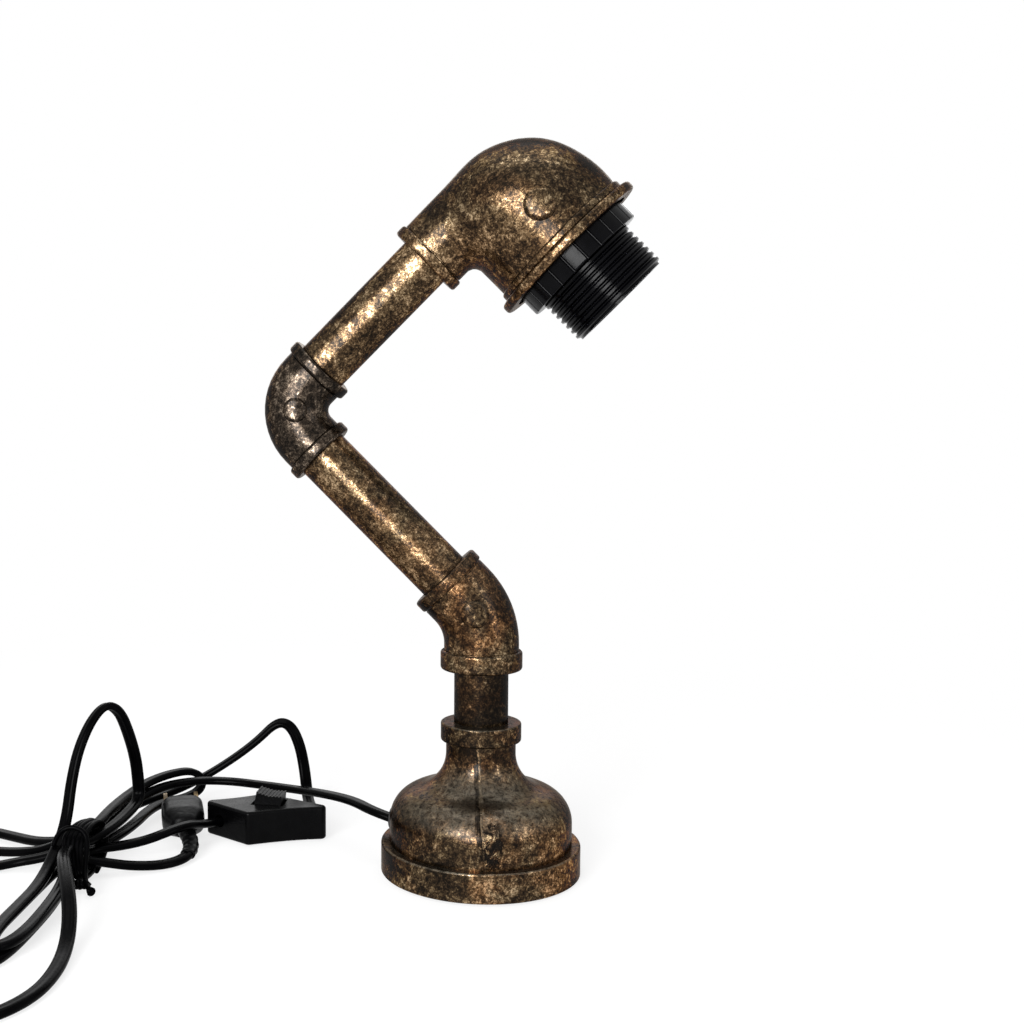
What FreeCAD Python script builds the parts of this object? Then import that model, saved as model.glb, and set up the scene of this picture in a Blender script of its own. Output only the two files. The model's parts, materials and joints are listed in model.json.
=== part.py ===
"""Industrial pipe table lamp: cast bell base, three pipe elbows, two pipe arms, a threaded lampholder,
and a flat twin lead with an in-line rocker switch and a two-pin plug. Millimetres, +Z up, origin at the
middle of the rest face. The arms lie in the XZ plane."""
import FreeCAD, Part
import math
import os

V = FreeCAD.Vector
UP = V(0, 0, 1)
SIDE = V(0, 1, 0)

# ---- fits -------------------------------------------------------------------------------------------
THREAD_FIT = 0.03        # radial clearance of a tight pipe thread
SWIVEL_FIT = 0.06        # radial clearance of a pipe thread that the arm turns on
SEAT_GAP = 0.3           # between a turning fitting and what it turns on
LIGHT_FIT = 0.05         # radial clearance of a small part in its seat
CABLE_FIT = 0.1          # around the lead where it passes a hole

# ---- pipe and elbows --------------------------------------------------------------------------------
PIPE_R = 10.0
PIPE_BORE_R = 7.6
PIPE_CHAMFER = 0.6
SOCKET_DEPTH = 10.0      # how far a pipe goes into a fitting
NIPPLE_DEEPER = 4.0      # how much further the nipple goes into the bell
NIPPLE_SHOWN = 19.8      # pipe seen between the bell's bead and the lower elbow
LOWER_SPAN = 106.3       # between the centres of the lower and the middle elbow
UPPER_SPAN = 115.1       # between the centres of the middle and the head elbow
BEAD_ROUND = 1.1
GROOVE_R = 0.35          # radius of the line cast along each bead's inner edge

LOWER_TURN = 45.0        # degrees
LOWER_REACH = 20.0
LOWER_BODY_R = 13.8
LOWER_BEND_R = 25.5
LOWER_BEAD_IN = (15.1, 7.0)    # radius, width
LOWER_BEAD_OUT = (14.5, 4.8)

MIDDLE_TURN = 90.0
MIDDLE_REACH = 23.1
MIDDLE_BODY_R = 11.8
MIDDLE_BEND_R = 15.2
MIDDLE_BEAD = (13.2, 4.4)

HEAD_REACH = 39.4        # inlet face from the head elbow's centre
HEAD_BEAD = (14.6, 4.3)
HEAD_NECK_R = 13.6
HEAD_DRUM_R = 27.2
HEAD_OUTER_BEND = 33.6
HEAD_WALL = 3.0
HEAD_CROTCH = (-28.2, 15.5)    # inner corner, along the inlet and along the outlet
HEAD_DRUM_START = 19.7   # along the outlet
HEAD_RIM_BEAD = (28.2, 3.0)
HEAD_LIP = (30.9, 3.4)
HEAD_SECTIONS = 6        # circles that the swelling body runs through
HEAD_CROTCH_SOFT = 2.0   # rounds the inner corner
HEAD_LIP_AT = 33.4       # middle of the lip, from the elbow's centre
LIP_RECESS_R = 26.0
LIP_RECESS_DEPTH = 3.2

# ---- bell base --------------------------------------------------------------------------------------
PAD_THICK = 1.6
PAD_INSET = 0.4          # the pad's edge, inside the recess
RIM_R = 37.0
RIM_BOTTOM = 0.6
RIM_TOP = 11.2
RIM_ROUND = 0.8
RIM_STEP = 3.2           # the rim stands this far outside the body
BODY_R = RIM_R - RIM_STEP
BODY_TOP = 19.3
SHOULDER_ROUND = 12.0
NECK_R = 12.9
NECK_LOW = 44.8
WAIST_ROUND = 14.0
COLLAR_R = 14.9
COLLAR_LOW = 49.4
COLLAR_TOP = 56.2
COLLAR_ROUND = 0.7
BELL_WALL = 3.0
RIM_WALL = 3.0
BELL_RECESS_R = RIM_R - RIM_WALL     # the seat of the ballast plate
PAD_R = BELL_RECESS_R - PAD_INSET
PLATE_THICK = 4.0
SEAM_WIDTH = 1.2         # casting seam down the front of the bell
SEAM_PROUD = 0.35
BOSS_R = 4.0
BOSS_BITE = 0.8          # how far a boss runs into the wall
BOSS_AT = BODY_R - BELL_WALL + BOSS_BITE - BOSS_R
BOSS_ANGLES = (48.0, 108.0, 228.0, 288.0)
BOSS_TALL = 9.0
PLATE_SCREW_R = 1.5
PLATE_SCREW_HEAD_R = 2.9
PLATE_SCREW_LONG = 9.0

# ---- lead through the bell --------------------------------------------------------------------------
LEAD_R = 2.5
EXIT_ANGLE = 168.0       # around the bell
EXIT_HIGH = 16.0
GROMMET_R = 3.5
GROMMET_LIP_R = 4.2
GROMMET_LIP = 1.2
CABLE_BEND_R = 12.0      # the lead's bend in the base and in the middle elbow
ARM_CABLE_BEND_R = 22.95 # and in the lower elbow
ANCHOR_AT = 19.0         # cord anchor, from the bell's axis
ANCHOR_LONG = 8.0
ANCHOR_WIDE = 17.0
ANCHOR_BAR = 4.0
ANCHOR_SCREW_R = 1.25
ANCHOR_SCREW_HEAD = (2.3, 1.5)
ANCHOR_EDGE = 0.6        # outside each screw's head
ANCHOR_ROUND = 0.8
ANCHOR_GRIP = 0.2        # each half stays this far from the lead's middle
TAP_FLOOR = 0.5          # left under each tapped hole
LIP_ROOT = 1.5
LIP_ROUND = 0.5

# ---- lampholder -------------------------------------------------------------------------------------
BARREL_R = 20.0          # crest of the shade thread
BARREL_BORE_R = 15.6
THREAD_PITCH = 2.5
THREAD_DEEP = 1.15
THREAD_CREST = 0.9
BARREL_END = 26.9        # mouth, beyond the middle of the lip
BARREL_SHOULDER_R = 22.4
BARREL_SHOULDER = 2.0
HOLDER_PLATE_THICK = 1.5
RING_R = 24.1
RING_END = 9.0           # front of the shade ring, beyond the middle of the lip
RING_RIBS = 24
RING_RIB_DEEP = 0.6
SHELL_R = 14.4
SHELL_THICK = 0.5
SHELL_WAVE = 0.75        # depth of the lamp thread rolled in the shell
SHELL_PITCH = 3.62
SHELL_TURNS = 5
SHELL_SETBACK = 3.5      # from the mouth to the shell's rim
INSULATOR_THICK = 5.0
CONTACT_WIDE = 6.0
CONTACT_THICK = 0.6
CONTACT_HIGH = 4.0
TERMINAL = (4.0, 5.0, 5.0)
TERMINAL_AT = 8.0
TERMINAL_SCREW_R = 1.2
CAP_R = 19.0
CAP_WALL = 2.0
CAP_DEEP = 9.0
CAP_NECK_R = 5.2
BARREL_TAIL = 2.9        # barrel behind its shoulder
THREAD_LEAD_IN = 0.8     # from the mouth to the first ridge
THREAD_BITE = 0.5        # how far a ridge runs into the barrel
THREAD_FLANK = 0.85      # share of half a pitch that a flank takes
THREAD_RUN_OUT = 0.5     # how much shallower the thread is behind the ring's front
RING_ROUND = 0.6
RING_RIB_OUT = 0.1       # how far outside the ring its notches are centred
CONTACT_BACK = -8.0      # the tongue's foot, heel, toe and tip, across the holder
CONTACT_HEEL = -4.0
CONTACT_TOE = 2.0
CONTACT_TIP = 6.0
CONTACT_DROP = 1.0
TERMINAL_SCREW_HEAD = (2.0, 1.2)
TERMINAL_SCREW_SHORT = 1.4
CAP_ROUND = 2.0
CAP_NECK_LONG = 3.0
CABLE_TUCK = 4.0         # last straight of the lead, inside the cap
CABLE_TAIL = 2.0         # from the lead's end to the terminals

# ---- in-line switch: a four-sided case on the floor, local +X along its long diagonal ----------------
SWITCH_AT = V(-86.0, 27.75, 0.3)
SWITCH_TURN = -2.9       # degrees about +Z
SWITCH_HALF_LONG = 28.0
SWITCH_HALF_WIDE = 14.0
SWITCH_APEX = -5.0       # how far the widest point stands from the middle
SWITCH_WAIST = 1.5       # hollow of the two sides without a lead
SWITCH_HIGH = 13.3
SWITCH_SPLIT = 6.2       # where the base ends and the cover begins
SWITCH_TIP_ROUND = 2.2
SWITCH_EDGE = 1.2
SWITCH_WALL = 1.6
SWITCH_IN = 0.40         # how far along its facet the lead enters
SWITCH_OUT = 0.40        # how far along the opposite facet it leaves
LEAD_HIGH = 6.7          # middle of the lead at the case, above the case's floor
ROCKER_LONG = 11.0
ROCKER_WIDE = 8.6
ROCKER_PROUD = 4.6       # above the cover
ROCKER_DEEP = 4.0        # below its pivot
ROCKER_PIVOT = 11.2      # above the case's floor
ROCKER_TILT = 8.0        # degrees each side of level
ROCKER_GAP = 0.5
ROCKER_AT = (0.0, 1.5)
RIB_R = 0.5
PIVOT_R = 1.2
PIVOT_LONG = 1.1
SWITCH_SCREW_R = 1.2
SWITCH_SCREW_HEAD = (2.1, 1.2)
SWITCH_SCREWS_AT = ((-13.0, 0.0), (16.0, -0.8))
CONTACT_STRIP = (9.0, 2.4, 0.6)
LEAD_HOLE_DEEP = 0.6     # beyond the wall
HOLLOW_ROUND = 1.0
POST_R = 2.4
WINDOW_SPARE = 0.6       # extra length of the rocker's window
FRAME_END = 1.0          # wall round the window, at its ends and at its sides
FRAME_SIDE = 1.6
FRAME_DEEP = 2.2         # below the pivot
PIVOT_PLAY = 0.2
ROCKER_KEEL = 2.0        # half length of its underside
ROCKER_WAIST = -0.5      # height of its ends, from the pivot
ROCKER_LEAN = 0.3
ROCKER_DISH = 0.7        # hollow of its top
RIB_SPACES = 8
RIB_LIFT = 0.15
STRIP_APART = 2.6        # contact strips, each side of the rocker's middle
STRIP_TALL = 4.0
SCREW_SUNK = 0.2
SCREW_SHORT = 1.0

# ---- plug: local +Z runs from the lead to the pins, local +Y is up ----------------------------------
PLUG_REAR = V(-117.0, 14.0, 6.8)
PLUG_HEADING = 107.5     # degrees about +Z from +X
PLUG_LONG = 24.0
PLUG_REAR_WIDE = 10.0
PLUG_WIDE = 17.0
PLUG_TALL = 13.0
PLUG_TAPER = 9.0         # length of the narrowing towards the lead
PLUG_ROUND = 1.6
PIN_APART = 12.7
PIN_WIDE = 6.3
PIN_THICK = 1.5
PIN_LONG = 15.0
PIN_ROOT = 8.0           # inside the plug
PIN_HOLE_R = 1.4
PIN_HOLE_FROM_TIP = 3.6
PIN_TIP_ROUND = 1.2
PIN_HOLE_THROUGH = 4.0

# ---- lead: each stretch is a list of points, with straight runs joined by tangent arcs ---------------
LEAD_BEND_SHARE = 0.45   # of the shorter run, used by each arc
LEAD_FIRST_RUN = 7.3     # square to the face that the lead leaves
SWITCH_FIRST_RUN = 5.0
PLUG_FIRST_RUN = 5.5

LEAD_TO_TIE = [(-50, 20.5, 16.2), (-62, 33.5, 15.4), (-77, 47.5, 14.4), (-93, 57.0, 13.0),
               (-110, 60.5, 12.6), (-124, 57.5, 13.1), (-136.0, 48.0, 13.0), (-143.6, 31, 11.2),
               (-146.6, 12, 9.2), (-149.0, -1.0, 8.8), (-149.2, -6.5, 8.8)]
FROM_SWITCH = [(-69.6, 43.0, 5.2), (-74.5, 60, 3.2), (-77.5, 71, 4.5), (-79.6, 76.8, 14),
               (-81.9, 77.6, 25), (-86.0, 78.2, 33.4), (-92, 77.6, 35.6), (-101.2, 76.4, 27.4),
               (-113, 74.9, 18.8), (-126, 72, 9.8), (-137, 64, 4.2), (-147.5, 49, 2.8), (-153.5, 30, 2.8),
               (-155, 10, 3.0), (-153, -5, 4.4), (-151.5, -10, 5.4)]
TO_SWITCH = [(-111.8, 7.2, 11.4), (-118, -0.4, 10.8), (-126, -4.8, 7.8), (-134.5, -8, 6.4),
             (-140.0, -10.7, 5.9), (-143.8, -12, 5.9)]
LOOP_RIGHT = [(-146, -6.5, 13.4), (-146.0, -1, 14.2), (-145.4, 10, 15.4), (-143, 28, 17.4),
              (-137.5, 44, 18.8), (-130, 55, 19.0), (-122.8, 62.8, 18.2), (-119, 67.4, 13.5),
              (-119.6, 66, 7.5), (-125.5, 61.0, 4.9), (-133.5, 57.0, 4.4), (-138.8, 49.5, 4.6),
              (-140.0, 38, 5.2), (-139.6, 24, 5.6), (-140.8, 8, 5.7), (-142.9, -2, 5.5), (-143.3, -6.2, 5.4)]
ARCH = [(-144, -16.5, 11.0), (-140.0, -7, 14.8), (-138.2, 9, 18.3), (-137.9, 21, 22.8), (-138.3, 19.5, 33),
        (-139.2, 13, 45), (-140.9, 7.8, 54.4), (-144.8, 4.0, 57.9), (-149, -1.0, 53.0), (-152.3, -7, 43),
        (-154, -11, 31), (-154.4, -13.5, 21), (-154, -14.5, 13.8)]
TO_PLUG = [(-146, -25.5, 6.4), (-139.5, -24.6, 5.0), (-128, -22.0, 3.2), (-117.5, -18.2, 2.8),
           (-110.8, -10, 2.8), (-110.8, 0.5, 3.0)]
BIG_LOOP = [(-150, -27, 7), (-148, -36, 10.5), (-143, -50, 13), (-135, -68, 11.6), (-130, -80, 7.4),
            (-126.5, -93, 3.2), (-123.8, -110, 2.8), (-124.5, -127, 2.8), (-132, -141.5, 2.8),
            (-147, -149, 2.8), (-163, -147.5, 2.8), (-178, -137, 2.8), (-188, -118, 2.8), (-193, -95, 2.8),
            (-194, -70, 2.8), (-191, -47, 2.8), (-182, -32, 2.8), (-170, -24.5, 3.0), (-160, -21.8, 4.2),
            (-155.5, -21.6, 5.6)]

# ---- tied bundle: lowest and highest corner of the gathered turns and of the flat lobes -------------
TIE_CORE = (-157.0, -142.0, -34.0, -4.0, 2.6, 16.0)
SIDE_LOBE = (-246.0, -150.0, -14.0, 19.0, 0.3, 9.0)
FRONT_LOBE = (-157.5, -139.0, -112.0, -38.0, 0.3, 7.6)
FRONT_ROOT = (-157.0, -147.5, -46.0, -28.0, 0.3, 7.6)
CORE_ROUND = 3.0         # upright edges of the core, the side lobe, the front lobe and its root
SIDE_ROUND = 12.0
FRONT_ROUND = 8.0
ROOT_ROUND = 2.5
LOBE_TOP_ROUND = 2.0
TIE_WIRE_R = 0.9
TIE_LOW_TURN = 1.0       # how far the tie's lower and upper corners are cut
TIE_HIGH_TURN = 2.0
TIE_AT = -144.4          # along X
TIE_TAILS = [[(-144.4, -35.4, 9.0), (-142.6, -38.4, 5.0), (-140.6, -39.6, 1.6)],
             [(-144.4, -35.4, 9.0), (-144.6, -39.0, 4.4), (-143.0, -42.2, 1.4)]]


def unit(angle):
    """Direction in the XZ plane, degrees from +Z towards +X."""
    a = math.radians(angle)
    return V(math.sin(a), 0, math.cos(a))


def frame_at(origin, along):
    """Local +Z runs along the direction, local +Y stays the lamp's +Y."""
    across = SIDE.cross(along)
    m = FreeCAD.Matrix(across.x, SIDE.x, along.x, origin.x,
                       across.y, SIDE.y, along.y, origin.y,
                       across.z, SIDE.z, along.z, origin.z,
                       0, 0, 0, 1)
    return FreeCAD.Placement(m)


def placed(shape, origin, along):
    out = shape.copy()
    out.Placement = frame_at(origin, along).multiply(out.Placement)
    return out


def spun(shape, angle, axis=UP, about=V(0, 0, 0)):
    out = shape.copy()
    out.rotate(about, axis, angle)
    return out


def moved(shape, x, y, z):
    out = shape.copy()
    out.translate(V(x, y, z))
    return out


def cyl(r, z0, z1, x=0.0, y=0.0):
    return Part.makeCylinder(r, z1 - z0, V(x, y, z0))


def tube(r, bore, z0, z1, x=0.0, y=0.0):
    return cyl(r, z0, z1, x, y).cut(cyl(bore, z0 - 1, z1 + 1, x, y))


def box(x0, x1, y0, y1, z0, z1):
    return Part.makeBox(x1 - x0, y1 - y0, z1 - z0, V(x0, y0, z0))


def fused(shapes):
    out = shapes[0].multiFuse(list(shapes[1:])) if len(shapes) > 1 else shapes[0]
    return out.removeSplitter()


def rounded(shape, radius, pick):
    """Fillets the edges that the pick function accepts."""
    edges = [e for e in shape.Edges if pick(e)]
    return shape.makeFillet(radius, edges)


def ring_edges(radius):
    """Picks full circles of about this radius."""
    def pick(edge):
        curve = edge.Curve
        return isinstance(curve, Part.Circle) and abs(curve.Radius - radius) < 0.01
    return pick


def upright(edge):
    return isinstance(edge.Curve, Part.Line) and abs(edge.tangentAt(edge.FirstParameter).z) > 0.99


def bead(radius, z0, z1):
    """A cast bead round a fitting, with rounded edges."""
    soft = min(BEAD_ROUND, 0.4 * (z1 - z0))
    return rounded(cyl(radius, z0, z1), soft, ring_edges(radius))


def groove(radius, z):
    """The fine line where a bead meets the body."""
    return Part.makeTorus(radius + 0.5 * GROOVE_R, GROOVE_R, V(0, 0, z), UP)


def revolve(wire):
    return Part.Face(wire).revolve(V(0, 0, 0), UP, 360)


def line(a, b):
    return Part.LineSegment(a, b).toShape()


def bend_path(start, turn, radius, end):
    """Path of a fitting: up +Z to its bend, round by the turn towards +X, and out. Centre at the origin."""
    reach = radius * math.tan(math.radians(turn) / 2)
    out = unit(turn)
    mid = V(radius, 0, -reach) + unit(turn / 2 - 90.0) * radius
    edges = []
    if start > reach + 1e-6:
        edges.append(line(V(0, 0, -start), V(0, 0, -reach)))
    edges.append(Part.Arc(V(0, 0, -reach), mid, out * reach).toShape())
    if end > reach + 1e-6:
        edges.append(line(out * reach, out * end))
    return Part.Wire(edges)


def swept(path, radius):
    """A round bar along a path that starts along its first edge."""
    first = path.OrderedEdges[0]
    start = first.valueAt(first.FirstParameter)
    heading = first.tangentAt(first.FirstParameter)
    profile = Part.Wire([Part.makeCircle(radius, start, heading)])
    return path.makePipeShell([profile], True, True)


# ---- places -----------------------------------------------------------------------------------------
ARM_DIR = unit(-LOWER_TURN)
FOREARM_DIR = unit(MIDDLE_TURN - LOWER_TURN)
HOLDER_DIR = unit(MIDDLE_TURN - LOWER_TURN + 90.0)
E1 = V(0, 0, COLLAR_TOP + NIPPLE_SHOWN + LOWER_REACH)
E2 = E1 + ARM_DIR * LOWER_SPAN
E3 = E2 + FOREARM_DIR * UPPER_SPAN
PLATE_TOP = PAD_THICK + PLATE_THICK
NIPPLE_LOW = COLLAR_TOP - SOCKET_DEPTH - NIPPLE_DEEPER
MOUTH_AT = HEAD_LIP_AT + BARREL_END
HOLDER_SEAT = HEAD_LIP_AT + HEAD_LIP[1] / 2 - LIP_RECESS_DEPTH
BARREL_BACK = HOLDER_SEAT - BARREL_SHOULDER - BARREL_TAIL
RING_FRONT = HEAD_LIP_AT + RING_END


# ---- bell base --------------------------------------------------------------------------------------
def bell_profile():
    """Outer section of the bell: rim, body, round shoulder, hollow waist, neck and collar."""
    shoulder = V(BODY_R - SHOULDER_ROUND, 0, BODY_TOP)
    waist = V(NECK_R + WAIST_ROUND, 0, NECK_LOW)
    across = waist - shoulder
    meet = shoulder + across * (SHOULDER_ROUND / across.Length)
    lean = math.degrees(math.atan2(across.z, across.x))
    shoulder_mid = shoulder + unit(90.0 - lean / 2) * SHOULDER_ROUND
    waist_mid = waist - unit(90.0 - lean / 2) * WAIST_ROUND
    corners = [V(0, 0, RIM_BOTTOM), V(RIM_R, 0, RIM_BOTTOM), V(RIM_R, 0, RIM_TOP), V(BODY_R, 0, RIM_TOP),
               V(BODY_R, 0, BODY_TOP)]
    edges = [line(a, b) for a, b in zip(corners, corners[1:])]
    edges.append(Part.Arc(corners[-1], shoulder_mid, meet).toShape())
    waist_top = V(NECK_R, 0, NECK_LOW)
    edges.append(Part.Arc(meet, waist_mid, waist_top).toShape())
    tops = [waist_top, V(NECK_R, 0, COLLAR_LOW), V(COLLAR_R, 0, COLLAR_LOW), V(COLLAR_R, 0, COLLAR_TOP),
            V(0, 0, COLLAR_TOP), corners[0]]
    edges += [line(a, b) for a, b in zip(tops, tops[1:])]
    return Part.Wire(edges)


def bell_cavity():
    """Hollow of the bell, one wall inside its outer section."""
    inner = BODY_R - BELL_WALL
    top = BODY_TOP + SHOULDER_ROUND - BELL_WALL
    shoulder = V(inner - (SHOULDER_ROUND - BELL_WALL), 0, top - (SHOULDER_ROUND - BELL_WALL))
    corner_mid = shoulder + unit(45.0) * (SHOULDER_ROUND - BELL_WALL)
    low = V(inner, 0, PLATE_TOP - 1)
    edges = [line(V(0, 0, PLATE_TOP - 1), low), line(low, V(inner, 0, shoulder.z))]
    edges.append(Part.Arc(V(inner, 0, shoulder.z), corner_mid, V(shoulder.x, 0, top)).toShape())
    edges += [line(V(shoulder.x, 0, top), V(0, 0, top)), line(V(0, 0, top), V(0, 0, PLATE_TOP - 1))]
    return revolve(Part.Wire(edges))


def exit_frame(shape):
    """From local +Z outwards to the lead's exit in the bell's side."""
    out = shape.copy()
    out.rotate(V(0, 0, 0), SIDE, 90)
    out.rotate(V(0, 0, 0), UP, EXIT_ANGLE)
    out.translate(V(0, 0, EXIT_HIGH))
    return out


def base_bell():
    bell = revolve(bell_profile())
    bell = rounded(bell, RIM_ROUND, lambda e: ring_edges(RIM_R)(e) and e.CenterOfMass.z > RIM_BOTTOM + 1)
    bell = rounded(bell, COLLAR_ROUND, ring_edges(COLLAR_R))
    seam = box(-SEAM_WIDTH / 2, SEAM_WIDTH / 2, -RIM_R, -NECK_R + 1, RIM_TOP - 0.2, NECK_LOW)
    seam = seam.common(moved(revolve(bell_profile()), 0, -SEAM_PROUD, 0)).cut(bell_cavity())
    bosses = [spun(cyl(BOSS_R, PLATE_TOP, PLATE_TOP + BOSS_TALL, BOSS_AT), a) for a in BOSS_ANGLES]
    shell = bell.cut(bell_cavity())
    shell = shell.cut(cyl(BELL_RECESS_R, RIM_BOTTOM - 1, PLATE_TOP))
    shell = shell.cut(cyl(PIPE_R + THREAD_FIT, NIPPLE_LOW, COLLAR_TOP + 1))
    shell = shell.cut(cyl(PIPE_BORE_R, PLATE_TOP + 1, COLLAR_TOP))
    shell = fused([shell, seam] + bosses)
    holes = [spun(cyl(PLATE_SCREW_R + LIGHT_FIT, PLATE_TOP - 1, PLATE_TOP + BOSS_TALL - 1, BOSS_AT), a)
             for a in BOSS_ANGLES]
    shell = shell.cut(exit_frame(cyl(GROMMET_R + LIGHT_FIT, NECK_R, RIM_R + 5)))
    return shell.cut(Part.makeCompound(holes)).removeSplitter()


def foot_pad():
    return cyl(PAD_R, 0, PAD_THICK)


def countersunk(r, head_r, z0, long):
    """A countersunk screw with its head at z0, pointing up."""
    head = Part.makeCone(head_r, r, head_r - r, V(0, 0, z0))
    return fused([head, cyl(r, z0 + head_r - r, z0 + long)])


def base_plate():
    plate = cyl(BELL_RECESS_R - LIGHT_FIT, PAD_THICK, PLATE_TOP)
    for a in BOSS_ANGLES:
        cutter = countersunk(PLATE_SCREW_R + LIGHT_FIT, PLATE_SCREW_HEAD_R + LIGHT_FIT, PAD_THICK,
                             PLATE_THICK + 1)
        plate = plate.cut(spun(moved(cutter, BOSS_AT, 0, 0), a))
    for side in (-1, 1):
        y = side * anchor_screw_y()
        tap = cyl(ANCHOR_SCREW_R + THREAD_FIT, PAD_THICK + TAP_FLOOR, PLATE_TOP + 1, ANCHOR_AT, y)
        plate = plate.cut(spun(tap, EXIT_ANGLE))
    return plate


def base_plate_screws():
    screw = countersunk(PLATE_SCREW_R, PLATE_SCREW_HEAD_R, PAD_THICK, PLATE_SCREW_LONG)
    return Part.makeCompound([spun(moved(screw, BOSS_AT, 0, 0), a) for a in BOSS_ANGLES])


def grommet_out():
    """Where the grommet's outer face stands, from the bell's axis."""
    return BODY_R + GROMMET_LIP


def cord_grommet():
    """Bushing in the bell's side hole: a lip outside, a lip inside, and the lead through it."""
    inner = BODY_R - BELL_WALL
    body = cyl(GROMMET_R, inner - GROMMET_LIP, grommet_out())
    lip = cyl(GROMMET_LIP_R, BODY_R - LIP_ROOT, grommet_out())
    lip = lip.cut(upright_cyl(BODY_R + LIGHT_FIT))
    lip = rounded(lip, LIP_ROUND, lambda e: ring_edges(GROMMET_LIP_R)(e) and e.CenterOfMass.z > BODY_R)
    back = cyl(GROMMET_LIP_R, inner - GROMMET_LIP, inner + 1)
    back = back.common(upright_cyl(inner - LIGHT_FIT))
    out = fused([body, lip, back]).cut(cyl(LEAD_R + CABLE_FIT, 0, RIM_R + 5))
    return exit_frame(out)


def upright_cyl(radius):
    """The bell's upright wall as a cylinder, seen in the exit's local frame (its axis along local X)."""
    return Part.makeCylinder(radius, 40, V(-20, 0, 0), V(1, 0, 0))


def anchor_screw_y():
    return 0.5 * ANCHOR_WIDE - ANCHOR_SCREW_HEAD[0] - ANCHOR_EDGE


def anchor_block(z0, z1):
    """One half of the cord anchor, across the lead, before it is turned to the exit's angle."""
    half = 0.5 * ANCHOR_LONG
    block = box(ANCHOR_AT - half, ANCHOR_AT + half, -ANCHOR_WIDE / 2, ANCHOR_WIDE / 2, z0, z1)
    block = rounded(block, ANCHOR_ROUND, upright)
    lead = Part.makeCylinder(LEAD_R + THREAD_FIT, 60, V(0, 0, EXIT_HIGH), V(1, 0, 0))
    for side in (-1, 1):
        y = side * anchor_screw_y()
        hole = cyl(ANCHOR_SCREW_R + LIGHT_FIT, PAD_THICK, EXIT_HIGH + ANCHOR_BAR + 1, ANCHOR_AT, y)
        block = block.cut(hole)
    return spun(block.cut(lead), EXIT_ANGLE)


def cord_anchor():
    return anchor_block(PLATE_TOP, EXIT_HIGH - ANCHOR_GRIP)


def cord_anchor_bar():
    return anchor_block(EXIT_HIGH + ANCHOR_GRIP, EXIT_HIGH + ANCHOR_BAR)


def cord_anchor_screws():
    head_r, head = ANCHOR_SCREW_HEAD
    top = EXIT_HIGH + ANCHOR_BAR
    screws = []
    for side in (-1, 1):
        y = side * anchor_screw_y()
        shank = cyl(ANCHOR_SCREW_R, PAD_THICK + TAP_FLOOR + 0.1, top, ANCHOR_AT, y)
        screws.append(spun(fused([shank, cyl(head_r, top, top + head, ANCHOR_AT, y)]), EXIT_ANGLE))
    return Part.makeCompound(screws)


def base_cable():
    """Lead inside the base: in through the grommet, bent up on the axis, and on inside the nipple."""
    top = E1.z - LOWER_REACH + SOCKET_DEPTH - SEAT_GAP
    radius = CABLE_BEND_R
    corner = V(0, 0, EXIT_HIGH)
    start = V(grommet_out(), 0, EXIT_HIGH)
    turn_in = V(radius, 0, EXIT_HIGH)
    across = radius * (1 - math.sqrt(0.5))
    middle = V(across, 0, EXIT_HIGH + across)
    turn_out = corner + UP * radius
    path = Part.Wire([line(start, turn_in), Part.Arc(turn_in, middle, turn_out).toShape(),
                      line(turn_out, V(0, 0, top))])
    return spun(swept(path, LEAD_R), EXIT_ANGLE)


def pipe(low, high):
    """A straight pipe along local +Z, bored and chamfered at both ends."""
    bar = cyl(PIPE_R, low, high)
    bar = bar.makeChamfer(PIPE_CHAMFER, [e for e in bar.Edges if ring_edges(PIPE_R)(e)])
    return bar.cut(cyl(PIPE_BORE_R, low - 1, high + 1))


def nipple():
    return pipe(NIPPLE_LOW, E1.z - LOWER_REACH + SOCKET_DEPTH - SEAT_GAP)


# ---- elbows -----------------------------------------------------------------------------------------
def elbow(turn, reach, body_r, bend_r, bead_in, bead_out, fit_in, fit_out):
    """A pipe elbow about its centre: beads at both ends, a bored body and a socket at each end."""
    path = bend_path(reach - 0.5, turn, bend_r, reach - 0.5)
    body = swept(path, body_r)
    inlet = bead(bead_in[0], -reach, -reach + bead_in[1])
    outlet = placed(bead(bead_out[0], reach - bead_out[1], reach), V(0, 0, 0), unit(turn))
    bore = swept(bend_path(reach + 2, turn, bend_r, reach + 2), PIPE_BORE_R)
    socket_in = cyl(PIPE_R + fit_in, -reach - 1, -reach + SOCKET_DEPTH)
    socket_out = placed(cyl(PIPE_R + fit_out, reach - SOCKET_DEPTH, reach + 1), V(0, 0, 0), unit(turn))
    groove_in = groove(body_r, -reach + bead_in[1])
    groove_out = placed(groove(body_r, reach - bead_out[1]), V(0, 0, 0), unit(turn))
    out = fused([body, inlet, outlet])
    return out.cut(Part.makeCompound([bore])).cut(socket_in).cut(socket_out).cut(groove_in).cut(groove_out)


def lower_elbow():
    local = elbow(LOWER_TURN, LOWER_REACH, LOWER_BODY_R, LOWER_BEND_R, LOWER_BEAD_IN, LOWER_BEAD_OUT,
                  SWIVEL_FIT, THREAD_FIT)
    return placed(spun(local, 180.0), E1, UP)


def middle_elbow():
    local = elbow(MIDDLE_TURN, MIDDLE_REACH, MIDDLE_BODY_R, MIDDLE_BEND_R, MIDDLE_BEAD, MIDDLE_BEAD,
                  SWIVEL_FIT, THREAD_FIT)
    return placed(local, E2, ARM_DIR)


def lower_pipe():
    """Screwed tight into the lower elbow; the middle elbow turns on its other end."""
    low = LOWER_REACH - SOCKET_DEPTH
    return placed(pipe(low, LOWER_SPAN - MIDDLE_REACH + SOCKET_DEPTH - SEAT_GAP), E1, ARM_DIR)


def upper_pipe():
    low = MIDDLE_REACH - SOCKET_DEPTH
    return placed(pipe(low, UPPER_SPAN - HEAD_REACH + SOCKET_DEPTH - SEAT_GAP), E2, FOREARM_DIR)


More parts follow.
